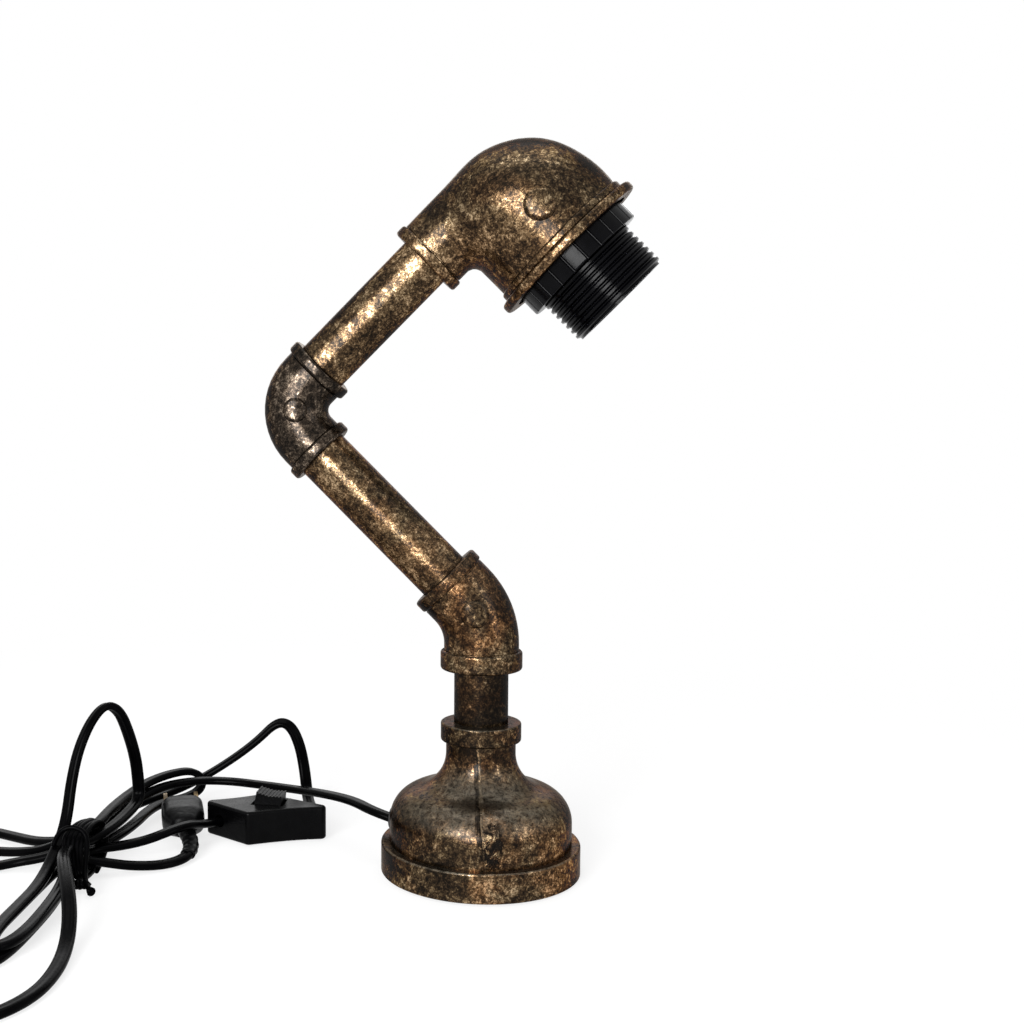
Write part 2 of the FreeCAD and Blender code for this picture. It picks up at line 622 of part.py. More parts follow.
# ---- head elbow -------------------------------------------------------------------------------------
def fan_sections(wall, neck_from, drum_to):
    """Circles up the neck (local +Z), fanned about the inner corner, and out along the drum (local +X)."""
    corner_z, corner_x = HEAD_CROTCH
    soft = corner_x - HEAD_NECK_R + HEAD_CROTCH_SOFT
    pivot = V(corner_x + HEAD_CROTCH_SOFT, 0, -HEAD_DRUM_R - soft)
    centre = V(HEAD_DRUM_START, 0, HEAD_DRUM_R - HEAD_OUTER_BEND)
    rings = []
    for z in neck_from:
        rings.append((HEAD_NECK_R, V(0, 0, z), UP))
    for step in range(HEAD_SECTIONS + 1):
        t = math.radians(90.0 * step / HEAD_SECTIONS)
        ray = V(-math.cos(t), 0, math.sin(t))
        reach = (pivot.x + HEAD_NECK_R) / max(math.cos(t), 1e-9)
        if (pivot + ray * reach).z > centre.z:
            back = (pivot - centre).dot(ray)
            reach = -back + math.sqrt(back ** 2 - (pivot - centre).Length ** 2 + HEAD_OUTER_BEND ** 2)
        rings.append(((reach - soft) / 2, pivot + ray * ((reach + soft) / 2), V(math.sin(t), 0, math.cos(t))))
    last, at, along = rings[-1]
    for x in drum_to:
        rings.append((last, V(x, 0, at.z), along))
    return [Part.Wire([Part.makeCircle(r - wall, c, n)]) for r, c, n in rings], pivot


def head_elbow():
    """Reducing elbow: a pipe socket, a body that swells round the bend, and a drum with a lipped mouth."""
    mouth = HEAD_LIP_AT + HEAD_LIP[1] / 2
    lip_low = HEAD_LIP_AT - HEAD_LIP[1] / 2
    seat = mouth - LIP_RECESS_DEPTH
    outer, pivot = fan_sections(0.0, (0.5 - HEAD_REACH, 0.5 - HEAD_REACH + HEAD_BEAD[1]),
                                (lip_low - HEAD_RIM_BEAD[1], lip_low + 1))
    inner, pivot = fan_sections(HEAD_WALL, (), (lip_low - HEAD_RIM_BEAD[1], seat + 0.5))
    inlet = bead(HEAD_BEAD[0], -HEAD_REACH, -HEAD_REACH + HEAD_BEAD[1])
    rim = along_x(bead(HEAD_RIM_BEAD[0], lip_low - HEAD_RIM_BEAD[1], lip_low + 0.4))
    lip = along_x(bead(HEAD_LIP[0], lip_low, mouth))
    out = fused([Part.makeLoft(outer, True), inlet, rim, lip])
    out = out.cut(Part.makeLoft(inner, True))
    out = out.cut(cyl(PIPE_R + SWIVEL_FIT, -HEAD_REACH - 1, pivot.z + 0.5))
    out = out.cut(along_x(cyl(LIP_RECESS_R, seat, mouth + 1)))
    out = out.cut(groove(HEAD_NECK_R, -HEAD_REACH + HEAD_BEAD[1]))
    return placed(out, E3, FOREARM_DIR)


def along_x(shape):
    """Turns a shape built along +Z to lie along +X."""
    return spun(shape, 90.0, SIDE)


# ---- lampholder: local +Z runs out of the mouth, from the head elbow's centre ------------------------
def in_head(shape):
    return placed(shape, E3, HOLDER_DIR)


def holder_plate():
    """Steel disc in the lip's recess; the lampholder is clamped through it."""
    disc = tube(LIP_RECESS_R - LIGHT_FIT, BARREL_R + LIGHT_FIT, HOLDER_SEAT, HOLDER_SEAT + HOLDER_PLATE_THICK)
    return in_head(disc)


def lampholder_barrel():
    """Threaded barrel with a shoulder behind the plate. The thread is a row of ridges that are equal up to
    the shade ring and shallower inside it."""
    root = BARREL_R - THREAD_DEEP
    out = cyl(root, BARREL_BACK, MOUTH_AT)
    out = out.fuse(cyl(BARREL_SHOULDER_R, HOLDER_SEAT - BARREL_SHOULDER, HOLDER_SEAT))
    ridges = int((MOUTH_AT - HOLDER_SEAT) / THREAD_PITCH)
    slope = 0.5 * (THREAD_PITCH - THREAD_CREST) * THREAD_FLANK
    for i in range(ridges):
        z = MOUTH_AT - THREAD_LEAD_IN - i * THREAD_PITCH
        low = z - slope - THREAD_CREST
        crest = BARREL_R if low > RING_FRONT else BARREL_R - THREAD_RUN_OUT
        points = [V(root - THREAD_BITE, 0, z), V(root, 0, z), V(crest, 0, z - slope),
                  V(crest, 0, low), V(root, 0, low - slope), V(root - THREAD_BITE, 0, low - slope)]
        edges = [line(a, b) for a, b in zip(points, points[1:] + points[:1])]
        out = out.fuse(revolve(Part.Wire(edges)))
    return in_head(out.cut(cyl(BARREL_BORE_R, BARREL_BACK - 1, MOUTH_AT + 1)))


def shade_ring():
    """Ribbed ring on the thread, screwed against the plate; it clamps the holder and a shade."""
    low = HOLDER_SEAT + HOLDER_PLATE_THICK
    ring = rounded(cyl(RING_R, low, RING_FRONT), RING_ROUND, ring_edges(RING_R))
    ring = ring.cut(cyl(BARREL_R + LIGHT_FIT, low - 1, RING_FRONT + 1))
    notch = cyl(RING_RIB_DEEP, low - 1, RING_FRONT + 1, RING_R + RING_RIB_OUT)
    notches = [spun(notch, 360.0 * i / RING_RIBS) for i in range(RING_RIBS)]
    return in_head(ring.cut(Part.makeCompound(notches)))


def lampholder_insulator():
    disc = cyl(BARREL_BORE_R - LIGHT_FIT, BARREL_BACK, BARREL_BACK + INSULATOR_THICK)
    return in_head(disc)


def screw_shell():
    """Brass shell with the lamp's thread rolled in as equal waves; it stands on the insulator."""
    low = BARREL_BACK + INSULATOR_THICK
    top = MOUTH_AT - SHELL_SETBACK
    outer = [V(SHELL_R, 0, top)]
    for i in range(SHELL_TURNS):
        z = top - (i + 0.5) * SHELL_PITCH
        outer.append(V(SHELL_R - SHELL_WAVE, 0, z))
        outer.append(V(SHELL_R, 0, z - 0.5 * SHELL_PITCH))
    outer.append(V(SHELL_R, 0, low))
    inner = [V(p.x - SHELL_THICK, 0, p.z) for p in reversed(outer)]
    points = outer + inner
    edges = [line(a, b) for a, b in zip(points, points[1:] + points[:1])]
    return in_head(revolve(Part.Wire(edges)))


def centre_contact():
    """Sprung brass tongue on the insulator: a foot, a slope and a pad for the lamp's tip."""
    low = BARREL_BACK + INSULATOR_THICK
    t = CONTACT_THICK
    high = low + CONTACT_HIGH
    points = [V(CONTACT_BACK, 0, low), V(CONTACT_HEEL, 0, low), V(CONTACT_TOE, 0, high),
              V(CONTACT_TIP, 0, high - CONTACT_DROP), V(CONTACT_TIP, 0, high - CONTACT_DROP + t),
              V(CONTACT_TOE, 0, high + t), V(CONTACT_HEEL - 0.7 * t, 0, low + t), V(CONTACT_BACK, 0, low + t)]
    wire = Part.Wire([line(a, b) for a, b in zip(points, points[1:] + points[:1])])
    tongue = Part.Face(wire).extrude(V(0, CONTACT_WIDE, 0))
    return in_head(moved(tongue, 0, -CONTACT_WIDE / 2, 0))


def lampholder_terminals():
    wide, deep, tall = TERMINAL
    blocks = []
    for side in (-1, 1):
        y = side * TERMINAL_AT
        block = box(-wide / 2, wide / 2, y - deep / 2, y + deep / 2, BARREL_BACK - tall, BARREL_BACK)
        blocks.append(block.cut(cyl(TERMINAL_SCREW_R + THREAD_FIT, 0, BARREL_BACK - 1, 0, y)))
    return in_head(Part.makeCompound(blocks))


def lampholder_screws():
    low = BARREL_BACK - TERMINAL[2]
    head_r, head = TERMINAL_SCREW_HEAD
    screws = []
    for side in (-1, 1):
        y = side * TERMINAL_AT
        shank = cyl(TERMINAL_SCREW_R, low, BARREL_BACK - TERMINAL_SCREW_SHORT, 0, y)
        screws.append(fused([cyl(head_r, low - head, low, 0, y), shank]))
    return in_head(Part.makeCompound(screws))


def lampholder_cap():
    """Cap behind the barrel, round the terminals, with a neck for the lead."""
    low = BARREL_BACK - CAP_DEEP
    rear = lambda e: ring_edges(CAP_R)(e) and e.CenterOfMass.z < low + 1
    cap = rounded(cyl(CAP_R, low, BARREL_BACK), CAP_ROUND, rear)
    cap = cap.cut(cyl(CAP_R - CAP_WALL, low + CAP_WALL, BARREL_BACK + 1))
    cap = fused([cap, cyl(CAP_NECK_R, low - CAP_NECK_LONG, low + 1)])
    return in_head(cap.cut(cyl(LEAD_R + CABLE_FIT, low - CAP_NECK_LONG - 1, low + CAP_WALL + 1)))


def arm_cable():
    """Lead in the lower elbow and pipe, from swivel to swivel."""
    start = LOWER_REACH - SOCKET_DEPTH
    end = LOWER_SPAN - MIDDLE_REACH + SOCKET_DEPTH - SEAT_GAP
    path = bend_path(start, LOWER_TURN, ARM_CABLE_BEND_R, end)
    return placed(spun(swept(path, LEAD_R), 180.0), E1, UP)


def forearm_cable():
    start = MIDDLE_REACH - SOCKET_DEPTH
    end = UPPER_SPAN - HEAD_REACH + SOCKET_DEPTH - SEAT_GAP
    path = bend_path(start, MIDDLE_TURN, CABLE_BEND_R, end)
    return placed(swept(path, LEAD_R), E2, ARM_DIR)


def head_cable():
    """Lead in the head, bent down into the lampholder's cap."""
    radius = BARREL_BACK - CAP_DEEP - CABLE_TUCK
    end = BARREL_BACK - TERMINAL[2] - CABLE_TAIL
    path = bend_path(HEAD_REACH - SOCKET_DEPTH, 90.0, radius, end)
    return placed(swept(path, LEAD_R), E3, FOREARM_DIR)


# ---- in-line switch: a four-sided case on the floor, local +X along its long diagonal ----------------
def switch_corners(inset=0.0):
    """Corners of the case's plan: left end, front, right end, rear."""
    long, wide = SWITCH_HALF_LONG, SWITCH_HALF_WIDE
    ring = [V(-long, 0, 0), V(SWITCH_APEX, -wide, 0), V(long, 0, 0), V(SWITCH_APEX, wide, 0)]
    out = []
    for i, here in enumerate(ring):
        before, after = ring[i - 1], ring[(i + 1) % 4]
        back = (before - here).normalize()
        on = (after - here).normalize()
        half = math.acos(back.dot(on)) / 2
        out.append(here + (back + on).normalize() * (inset / math.sin(half)))
    return out


def case_prism(inset, z0, z1):
    """The case's plan with straight sides where the lead passes and hollow ones between them."""
    ring = [V(p.x, p.y, z0) for p in switch_corners(inset)]
    edges = []
    for i, a in enumerate(ring):
        b = ring[(i + 1) % 4]
        along = (b - a).normalize()
        waist = (a + b) * 0.5 + V(-along.y, along.x, 0) * SWITCH_WAIST
        edges.append(Part.Arc(a, waist, b).toShape() if i % 2 else line(a, b))
    return Part.Face(Part.Wire(edges)).extrude(V(0, 0, z1 - z0))


def in_switch(shape):
    out = spun(shape, SWITCH_TURN)
    return moved(out, SWITCH_AT.x, SWITCH_AT.y, SWITCH_AT.z)


def facet(first, share):
    """A point along a facet of the case and the facet's outward direction."""
    ring = switch_corners()
    a, b = ring[first], ring[(first + 1) % 4]
    along = (b - a).normalize()
    return a + (b - a) * share, V(along.y, -along.x, 0)


def lead_holes():
    """Holes for the lead through the two facets."""
    holes = []
    for first, share in ((0, SWITCH_IN), (2, SWITCH_OUT)):
        at, out = facet(first, share)
        start = V(at.x, at.y, LEAD_HIGH) - out * (SWITCH_WALL + LEAD_HOLE_DEEP)
        holes.append(Part.makeCylinder(LEAD_R + CABLE_FIT, SWITCH_WALL + 2, start, out))
    return Part.makeCompound(holes)


def case_half(z0, z1, cavity_low, cavity_high, edge_z):
    case = rounded(case_prism(0, z0, z1), SWITCH_TIP_ROUND, upright)
    case = rounded(case, SWITCH_EDGE, lambda e: abs(e.CenterOfMass.z - edge_z) < 0.01 and not upright(e))
    hollow = rounded(case_prism(SWITCH_WALL, cavity_low, cavity_high), HOLLOW_ROUND, upright)
    return case.cut(hollow)


def screw_posts(z0, z1):
    return [cyl(POST_R, z0, z1, x, y) for x, y in SWITCH_SCREWS_AT]


def switch_base():
    case = case_half(0, SWITCH_SPLIT, SWITCH_WALL, SWITCH_SPLIT + 1, 0.0)
    case = fused([case] + screw_posts(0.5, SWITCH_SPLIT))
    head_r, head = SWITCH_SCREW_HEAD
    for x, y in SWITCH_SCREWS_AT:
        case = case.cut(cyl(head_r + LIGHT_FIT, -1, head, x, y))
        case = case.cut(cyl(SWITCH_SCREW_R + LIGHT_FIT, 0, SWITCH_HIGH, x, y))
    return in_switch(case.cut(lead_holes()))


def switch_cover():
    """Cover with the rocker's window and the two blind holes for its pivots."""
    roof = SWITCH_HIGH - SWITCH_WALL
    case = case_half(SWITCH_SPLIT, SWITCH_HIGH, SWITCH_SPLIT - 1, roof, SWITCH_HIGH)
    x, y = ROCKER_AT
    long, wide = ROCKER_LONG / 2 + ROCKER_GAP + WINDOW_SPARE, ROCKER_WIDE / 2 + ROCKER_GAP
    frame = box(x - long - FRAME_END, x + long + FRAME_END, y - wide - FRAME_SIDE, y + wide + FRAME_SIDE,
                ROCKER_PIVOT - FRAME_DEEP, SWITCH_HIGH)
    frame = frame.cut(box(x - long, x + long, y - wide, y + wide, 0, SWITCH_HIGH + 1))
    case = case.cut(box(x - long, x + long, y - wide, y + wide, SWITCH_SPLIT + 1, SWITCH_HIGH + 1))
    case = fused([case, frame] + screw_posts(SWITCH_SPLIT, roof + 0.5))
    reach = ROCKER_WIDE / 2 + PIVOT_LONG + PIVOT_PLAY
    pivots = Part.makeCylinder(PIVOT_R + LIGHT_FIT, 2 * reach, V(x, y - reach, ROCKER_PIVOT), SIDE)
    for sx, sy in SWITCH_SCREWS_AT:
        case = case.cut(cyl(SWITCH_SCREW_R + LIGHT_FIT, 0, roof - 0.5, sx, sy))
    return in_switch(case.cut(pivots).cut(lead_holes()))


def switch_rocker():
    """Ribbed rocker on two pivots, at rest with its left end raised."""
    x, y = ROCKER_AT
    half = ROCKER_LONG / 2
    top = SWITCH_HIGH + ROCKER_PROUD - ROCKER_PIVOT
    low = -ROCKER_DEEP
    points = [V(-half, 0, ROCKER_WAIST), V(-ROCKER_KEEL, 0, low), V(ROCKER_KEEL, 0, low),
              V(half, 0, ROCKER_WAIST), V(half - ROCKER_LEAN, 0, top), V(0, 0, top - ROCKER_DISH),
              V(ROCKER_LEAN - half, 0, top)]
    wire = Part.Wire([line(a, b) for a, b in zip(points, points[1:] + points[:1])])
    body = moved(Part.Face(wire).extrude(V(0, ROCKER_WIDE, 0)), 0, -ROCKER_WIDE / 2, 0)
    reach = ROCKER_WIDE / 2 + PIVOT_LONG
    pins = Part.makeCylinder(PIVOT_R, 2 * reach, V(0, -reach, 0), SIDE)
    body = fused([body, pins])
    for i in range(1 - RIB_SPACES // 2, RIB_SPACES // 2):
        rx = i * ROCKER_LONG / RIB_SPACES
        rib_z = top - ROCKER_DISH * (1 - abs(rx) / half) + RIB_LIFT
        rib = Part.makeCylinder(RIB_R, ROCKER_WIDE + 2, V(rx, -ROCKER_WIDE / 2 - 1, rib_z), SIDE)
        body = body.cut(rib)
    body = spun(body, ROCKER_TILT, SIDE)
    return in_switch(moved(body, x, y, ROCKER_PIVOT))


def switch_contacts():
    """Two brass strips that the rocker presses, standing on the base's floor."""
    long, wide, thick = CONTACT_STRIP
    x, y = ROCKER_AT
    strips = []
    for side in (-1, 1):
        near, end = y + side * STRIP_APART - wide / 2, x + side * long / 2
        foot = box(x - long / 2, x + long / 2, near, near + wide, SWITCH_WALL, SWITCH_WALL + thick)
        post = box(end - thick / 2, end + thick / 2, near, near + wide, SWITCH_WALL, SWITCH_WALL + STRIP_TALL)
        strips.append(fused([foot, post]))
    return in_switch(Part.makeCompound(strips))


def switch_screws():
    head_r, head = SWITCH_SCREW_HEAD
    screws = []
    for x, y in SWITCH_SCREWS_AT:
        shank = cyl(SWITCH_SCREW_R, head, SWITCH_HIGH - SWITCH_WALL - SCREW_SHORT, x, y)
        screws.append(fused([cyl(head_r, SCREW_SUNK, head, x, y), shank]))
    return in_switch(Part.makeCompound(screws))


# ---- plug: local +Z runs from the lead to the pins, local +Y is up ----------------------------------
def in_plug(shape):
    out = spun(shape, 90.0, V(1, 0, 0))
    out = spun(out, PLUG_HEADING - 90.0)
    return moved(out, PLUG_REAR.x, PLUG_REAR.y, PLUG_REAR.z)


def plug_pin_slab(side, grow):
    """One flat pin, standing on edge, drawn in the plug's frame (lead at z 0, pins towards -z)."""
    x = side * PIN_APART / 2
    wide, thick = PIN_WIDE / 2 + grow, PIN_THICK / 2 + grow
    return box(x - thick, x + thick, -wide, wide, -PLUG_LONG - PIN_LONG, -PLUG_LONG + PIN_ROOT)


def plug_body():
    """Moulded plug: a tapered rear round the lead and a square front with two slots for the pins."""
    rear, front = PLUG_REAR_WIDE / 2, PLUG_WIDE / 2
    points = [V(-rear, 0, 0), V(rear, 0, 0), V(front, 0, -PLUG_TAPER), V(front, 0, -PLUG_LONG),
              V(-front, 0, -PLUG_LONG), V(-front, 0, -PLUG_TAPER)]
    wire = Part.Wire([line(a, b) for a, b in zip(points, points[1:] + points[:1])])
    body = moved(Part.Face(wire).extrude(V(0, PLUG_TALL, 0)), 0, -PLUG_TALL / 2, 0)
    body = body.makeFillet(PLUG_ROUND, [e for e in body.Edges if e.CenterOfMass.z > 0.5 - PLUG_LONG])
    for side in (-1, 1):
        body = body.cut(plug_pin_slab(side, LIGHT_FIT))
    return in_plug(body)


def plug_pins():
    pins = []
    for side in (-1, 1):
        pin = plug_pin_slab(side, 0.0)
        hole_z = -PLUG_LONG - PIN_LONG + PIN_HOLE_FROM_TIP
        near = side * PIN_APART / 2 - PIN_HOLE_THROUGH / 2
        hole = Part.makeCylinder(PIN_HOLE_R, PIN_HOLE_THROUGH, V(near, 0, hole_z), V(1, 0, 0))
        tips = [e for e in pin.Edges if abs(e.CenterOfMass.z + PLUG_LONG + PIN_LONG) < 0.01
                and abs(e.tangentAt(e.FirstParameter).x) > 0.99]
        pins.append(pin.makeFillet(PIN_TIP_ROUND, tips).cut(hole))
    return in_plug(Part.makeCompound(pins))


# ---- lead: one flat twin flex, drawn as round tubes of its width ------------------------------------
# Each stretch is a list of points; straight runs between them are joined by tangent arcs.
def tube_along(name, points):
    """A round tube along straight runs joined by tangent arcs; prints its length and smallest radius."""
    knots = [V(*p) for p in points]
    edges = []
    here = knots[0]
    radii = []
    for before, corner, after in zip(knots, knots[1:], knots[2:]):
        back = (before - corner).normalize()
        on = (after - corner).normalize()
        share = LEAD_BEND_SHARE * min((before - corner).Length, (after - corner).Length)
        half_turn = (math.pi - math.acos(max(-1.0, min(1.0, back.dot(on))))) / 2
        radius = share / math.tan(half_turn)
        radii.append(radius)
        start, end = corner + back * share, corner + on * share
        inward = (back + on).normalize()
        mid = corner + inward * (math.hypot(radius, share) - radius)
        edges += [line(here, start), Part.Arc(start, mid, end).toShape()]
        here = end
    edges.append(line(here, knots[-1]))
    path = Part.Wire(edges)
    solid = swept(path, LEAD_R)
    if solid.ShapeType != "Solid":
        solid = solid.Solids[0]
    ratio = solid.Volume / (math.pi * LEAD_R ** 2 * path.Length)
    print("%s length %.1f volume/section %.4f least radius %.1f" % (name, path.Length, ratio, min(radii)))
    return solid


def global_exit(first, share):
    """Where the lead meets a facet of the switch, in the lamp's frame."""
    at, out = facet(first, share)
    turn = FreeCAD.Rotation(UP, SWITCH_TURN)
    return SWITCH_AT + turn.multVec(at) + UP * LEAD_HIGH, turn.multVec(out)


def with_start(start, heading, run, points):
    """Adds a first run square to the face that the lead comes out of."""
    first = start + heading * run
    return [tuple(start), tuple(first)] + list(points)


def cord_lead():
    angle = math.radians(EXIT_ANGLE)
    outward = V(math.cos(angle), math.sin(angle), 0)
    start = outward * grommet_out() + UP * EXIT_HIGH
    return tube_along("cord_lead", with_start(start, outward, LEAD_FIRST_RUN, LEAD_TO_TIE))


def cord_to_switch():
    start, out = global_exit(0, SWITCH_IN)
    return tube_along("cord_to_switch", with_start(start, out, LEAD_FIRST_RUN, TO_SWITCH))


def cord_from_switch():
    start, out = global_exit(2, SWITCH_OUT)
    return tube_along("cord_from_switch", with_start(start, out, SWITCH_FIRST_RUN, FROM_SWITCH))


def cord_loop_right():
    return tube_along("cord_loop_right", LOOP_RIGHT)


def cord_arch():
    return tube_along("cord_arch", ARCH)


def cord_to_plug():
    heading = math.radians(PLUG_HEADING)
    back = V(-math.cos(heading), -math.sin(heading), 0)
    return tube_along("cord_to_plug", with_start(PLUG_REAR, back, PLUG_FIRST_RUN, TO_PLUG[::-1]))


def cord_big_loop():
    return tube_along("cord_big_loop", BIG_LOOP)


def lobe(limits, soft):
    x0, x1, y0, y1, z0, z1 = limits
    slab = rounded(box(x0, x1, y0, y1, z0, z1), min(soft, 0.48 * min(x1 - x0, y1 - y0)), upright)
    return rounded(slab, LOBE_TOP_ROUND, lambda e: not upright(e) and e.CenterOfMass.z > z1 - 0.01)


def cord_hank():
    """Outer shape of the gathered turns: the tied core and the flat lobes that leave it."""
    return fused([lobe(TIE_CORE, CORE_ROUND), lobe(SIDE_LOBE, SIDE_ROUND), lobe(FRONT_LOBE, FRONT_ROUND),
                  lobe(FRONT_ROOT, ROOT_ROUND)])


def rod(points, radius):
    """A thin bent wire: straight rods with ball corners."""
    knots = [V(*p) for p in points]
    bars = [Part.makeSphere(radius, k) for k in knots]
    for a, b in zip(knots, knots[1:]):
        bars.append(Part.makeCylinder(radius, (b - a).Length, a, b - a))
    return bars


def twist_tie():
    """Wire tie pulled tight round the bundle, with two twisted tails at its front."""
    x0, x1, y0, y1, z0, z1 = TIE_CORE
    r = TIE_WIRE_R
    low, high, near, far = z0 - r, z1 + r, y0 - r, y1 + r
    foot, top = TIE_LOW_TURN, TIE_HIGH_TURN
    ring = [(TIE_AT, near, low + foot), (TIE_AT, near + foot, low), (TIE_AT, far - foot, low),
            (TIE_AT, far, low + foot), (TIE_AT, far, high - top), (TIE_AT, far - top, high),
            (TIE_AT, near + top, high), (TIE_AT, near, high - top), (TIE_AT, near, low + foot)]
    bars = rod(ring, r)
    for tail in TIE_TAILS:
        bars += rod(tail, r)
    return fused(bars)


SUBPARTS = [foot_pad, base_plate, base_plate_screws, base_bell, cord_grommet, cord_anchor, cord_anchor_bar,
            cord_anchor_screws, base_cable, nipple, lower_elbow, lower_pipe, arm_cable, middle_elbow,
            upper_pipe, forearm_cable, head_elbow, head_cable, holder_plate, lampholder_barrel, shade_ring,
            lampholder_insulator, screw_shell, centre_contact, lampholder_terminals, lampholder_screws,
            lampholder_cap, switch_base, switch_cover, switch_rocker, switch_contacts, switch_screws,
            plug_body, plug_pins, cord_lead, cord_to_switch, cord_from_switch, cord_loop_right, cord_arch,
            cord_to_plug, cord_big_loop, cord_hank, twist_tie]


def main():
    os.makedirs("parts", exist_ok=True)
    for make in SUBPARTS:
        shape = make()
        facts = (make.__name__, len(shape.Solids), shape.isValid(), shape.Volume)
        print("%-22s solids %d valid %s volume %.1f" % facts)
        shape.exportStep("parts/%s.step" % make.__name__)


main()
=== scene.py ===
"""Looks of the industrial pipe table lamp: camera, finishes, lead, small cast details and light.

Places and sizes are in metres, and in mm in the sections that say so; MM turns those into metres.
"""
import bpy
import bmesh
import json
import math
from mathutils import Matrix, Vector
from mathutils.bvhtree import BVHTree


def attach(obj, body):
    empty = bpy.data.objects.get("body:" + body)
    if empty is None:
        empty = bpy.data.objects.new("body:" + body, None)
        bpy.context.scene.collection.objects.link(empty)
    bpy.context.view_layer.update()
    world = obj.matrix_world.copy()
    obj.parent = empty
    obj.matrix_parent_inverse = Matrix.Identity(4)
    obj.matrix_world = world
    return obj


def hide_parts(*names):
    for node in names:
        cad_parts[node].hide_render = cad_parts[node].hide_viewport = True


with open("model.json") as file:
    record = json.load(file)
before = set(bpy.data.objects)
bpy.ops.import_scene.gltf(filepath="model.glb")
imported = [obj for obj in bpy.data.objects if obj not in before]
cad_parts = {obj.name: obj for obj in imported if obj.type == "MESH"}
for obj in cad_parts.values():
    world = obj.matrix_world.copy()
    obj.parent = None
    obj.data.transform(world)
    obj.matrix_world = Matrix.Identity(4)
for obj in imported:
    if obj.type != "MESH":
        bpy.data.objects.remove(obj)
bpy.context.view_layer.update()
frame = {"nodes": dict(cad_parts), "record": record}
nodes = frame["nodes"]
MM = 0.001
UP = Vector((0, 0, 1))

# ---- camera, fitted to the photo ----------------------------------------------------------------------
SENSOR_MM = 36.0
LENS_MM = 45.70
LENS_SHIFT = 0.1398       # the lens's axis isn't at the middle of the photo
CLIP = (0.01, 20.0)
CAMERA_AT = (0.01593, -0.47657, 0.16997)
CAMERA_LOOKS = (-0.12014, 0.98988, -0.07550)


def make_camera():
    data = bpy.data.cameras.new("camera")
    data.sensor_width = SENSOR_MM
    data.lens = LENS_MM
    data.shift_x = LENS_SHIFT
    data.clip_start, data.clip_end = CLIP
    camera = bpy.data.objects.new("camera", data)
    bpy.context.scene.collection.objects.link(camera)
    camera.location = CAMERA_AT
    camera.rotation_mode = "QUATERNION"
    camera.rotation_quaternion = Vector(CAMERA_LOOKS).to_track_quat("-Z", "Y")
    bpy.context.scene.camera = camera


make_camera()


# ---- materials --------------------------------------------------------------------------------------
class Finish:
    """A material with its node tree and short ways to add nodes."""

    def __init__(self, name):
        self.material = bpy.data.materials.new(name)
        self.material.use_nodes = True
        self.tree = self.material.node_tree
        self.shader = self.tree.nodes["Principled BSDF"]
        self.place = self.add("ShaderNodeTexCoord")

    def add(self, kind, **settings):
        node = self.tree.nodes.new(kind)
        for key, value in settings.items():
            setattr(node, key, value)
        return node

    def link(self, a, b):
        self.tree.links.new(a, b)

    def feed(self, socket, value):
        """Sets a socket to a number or a colour, or links it to another socket."""
        if isinstance(value, (int, float)):
            socket.default_value = value
        elif isinstance(value, tuple):
            socket.default_value = (*value, 1.0)
        else:
            self.link(value, socket)

    def noise(self, scale, detail=4.0, rough=0.6, distort=0.0, stretch=None):
        node = self.add("ShaderNodeTexNoise")
        node.inputs["Scale"].default_value = scale
        node.inputs["Detail"].default_value = detail
        node.inputs["Roughness"].default_value = rough
        node.inputs["Distortion"].default_value = distort
        source = self.place.outputs["Object"]
        if stretch:
            mapping = self.add("ShaderNodeMapping")
            mapping.inputs["Scale"].default_value = stretch
            self.link(source, mapping.inputs["Vector"])
            source = mapping.outputs["Vector"]
        self.link(source, node.inputs["Vector"])
        return node.outputs["Fac"]

    def cells(self, scale):
        node = self.add("ShaderNodeTexVoronoi")
        node.inputs["Scale"].default_value = scale
        self.link(self.place.outputs["Object"], node.inputs["Vector"])
        return node.outputs["Distance"]

    def ramp(self, value, stops):
        node = self.add("ShaderNodeValToRGB")
        ramp = node.color_ramp
        while len(ramp.elements) < len(stops):
            ramp.elements.new(0.5)
        for element, (at, colour) in zip(ramp.elements, stops):
            element.position = at
            element.color = (*colour, 1.0)
        self.link(value, node.inputs["Fac"])
        return node.outputs["Color"]

    def span(self, value, low, high, to_low=0.0, to_high=1.0):
        """Maps low..high onto to_low..to_high, and holds still outside it."""
        node = self.add("ShaderNodeMapRange")
        ends = {"From Min": low, "From Max": high, "To Min": to_low, "To Max": to_high}
        for socket, number in ends.items():
            node.inputs[socket].default_value = number
        self.link(value, node.inputs["Value"])
        return node.outputs["Result"]

    def math(self, operation, *values):
        node = self.add("ShaderNodeMath", operation=operation)
        for socket, value in zip(node.inputs, values):
            self.feed(socket, value)
        return node.outputs["Value"]

    def mix(self, share, a, b, blend="MIX"):
        """The colour a, with its share of b blended in."""
        node = self.add("ShaderNodeMix", data_type="RGBA", blend_type=blend)
        inputs = {socket.identifier: socket for socket in node.inputs}
        outputs = {socket.identifier: socket for socket in node.outputs}
        for identifier, value in (("Factor_Float", share), ("A_Color", a), ("B_Color", b)):
            self.feed(inputs[identifier], value)
        return outputs["Result_Color"]

    def upward(self):
        """From 0 on faces that look down to 1 on faces that look up."""
        node = self.add("ShaderNodeSeparateXYZ")
        self.link(self.place.outputs["Normal"], node.inputs["Vector"])
        return self.span(node.outputs["Z"], -1.0, 1.0)

    def bump(self, heights):
        """Stacks (height, depth in metres, strength) into one normal."""
        normal = None
        for height, depth, strength in heights:
            node = self.add("ShaderNodeBump")
            node.inputs["Distance"].default_value = depth
            node.inputs["Strength"].default_value = strength
            self.link(height, node.inputs["Height"])
            if normal:
                self.link(normal, node.inputs["Normal"])
            normal = node.outputs["Normal"]
        self.link(normal, self.shader.inputs["Normal"])


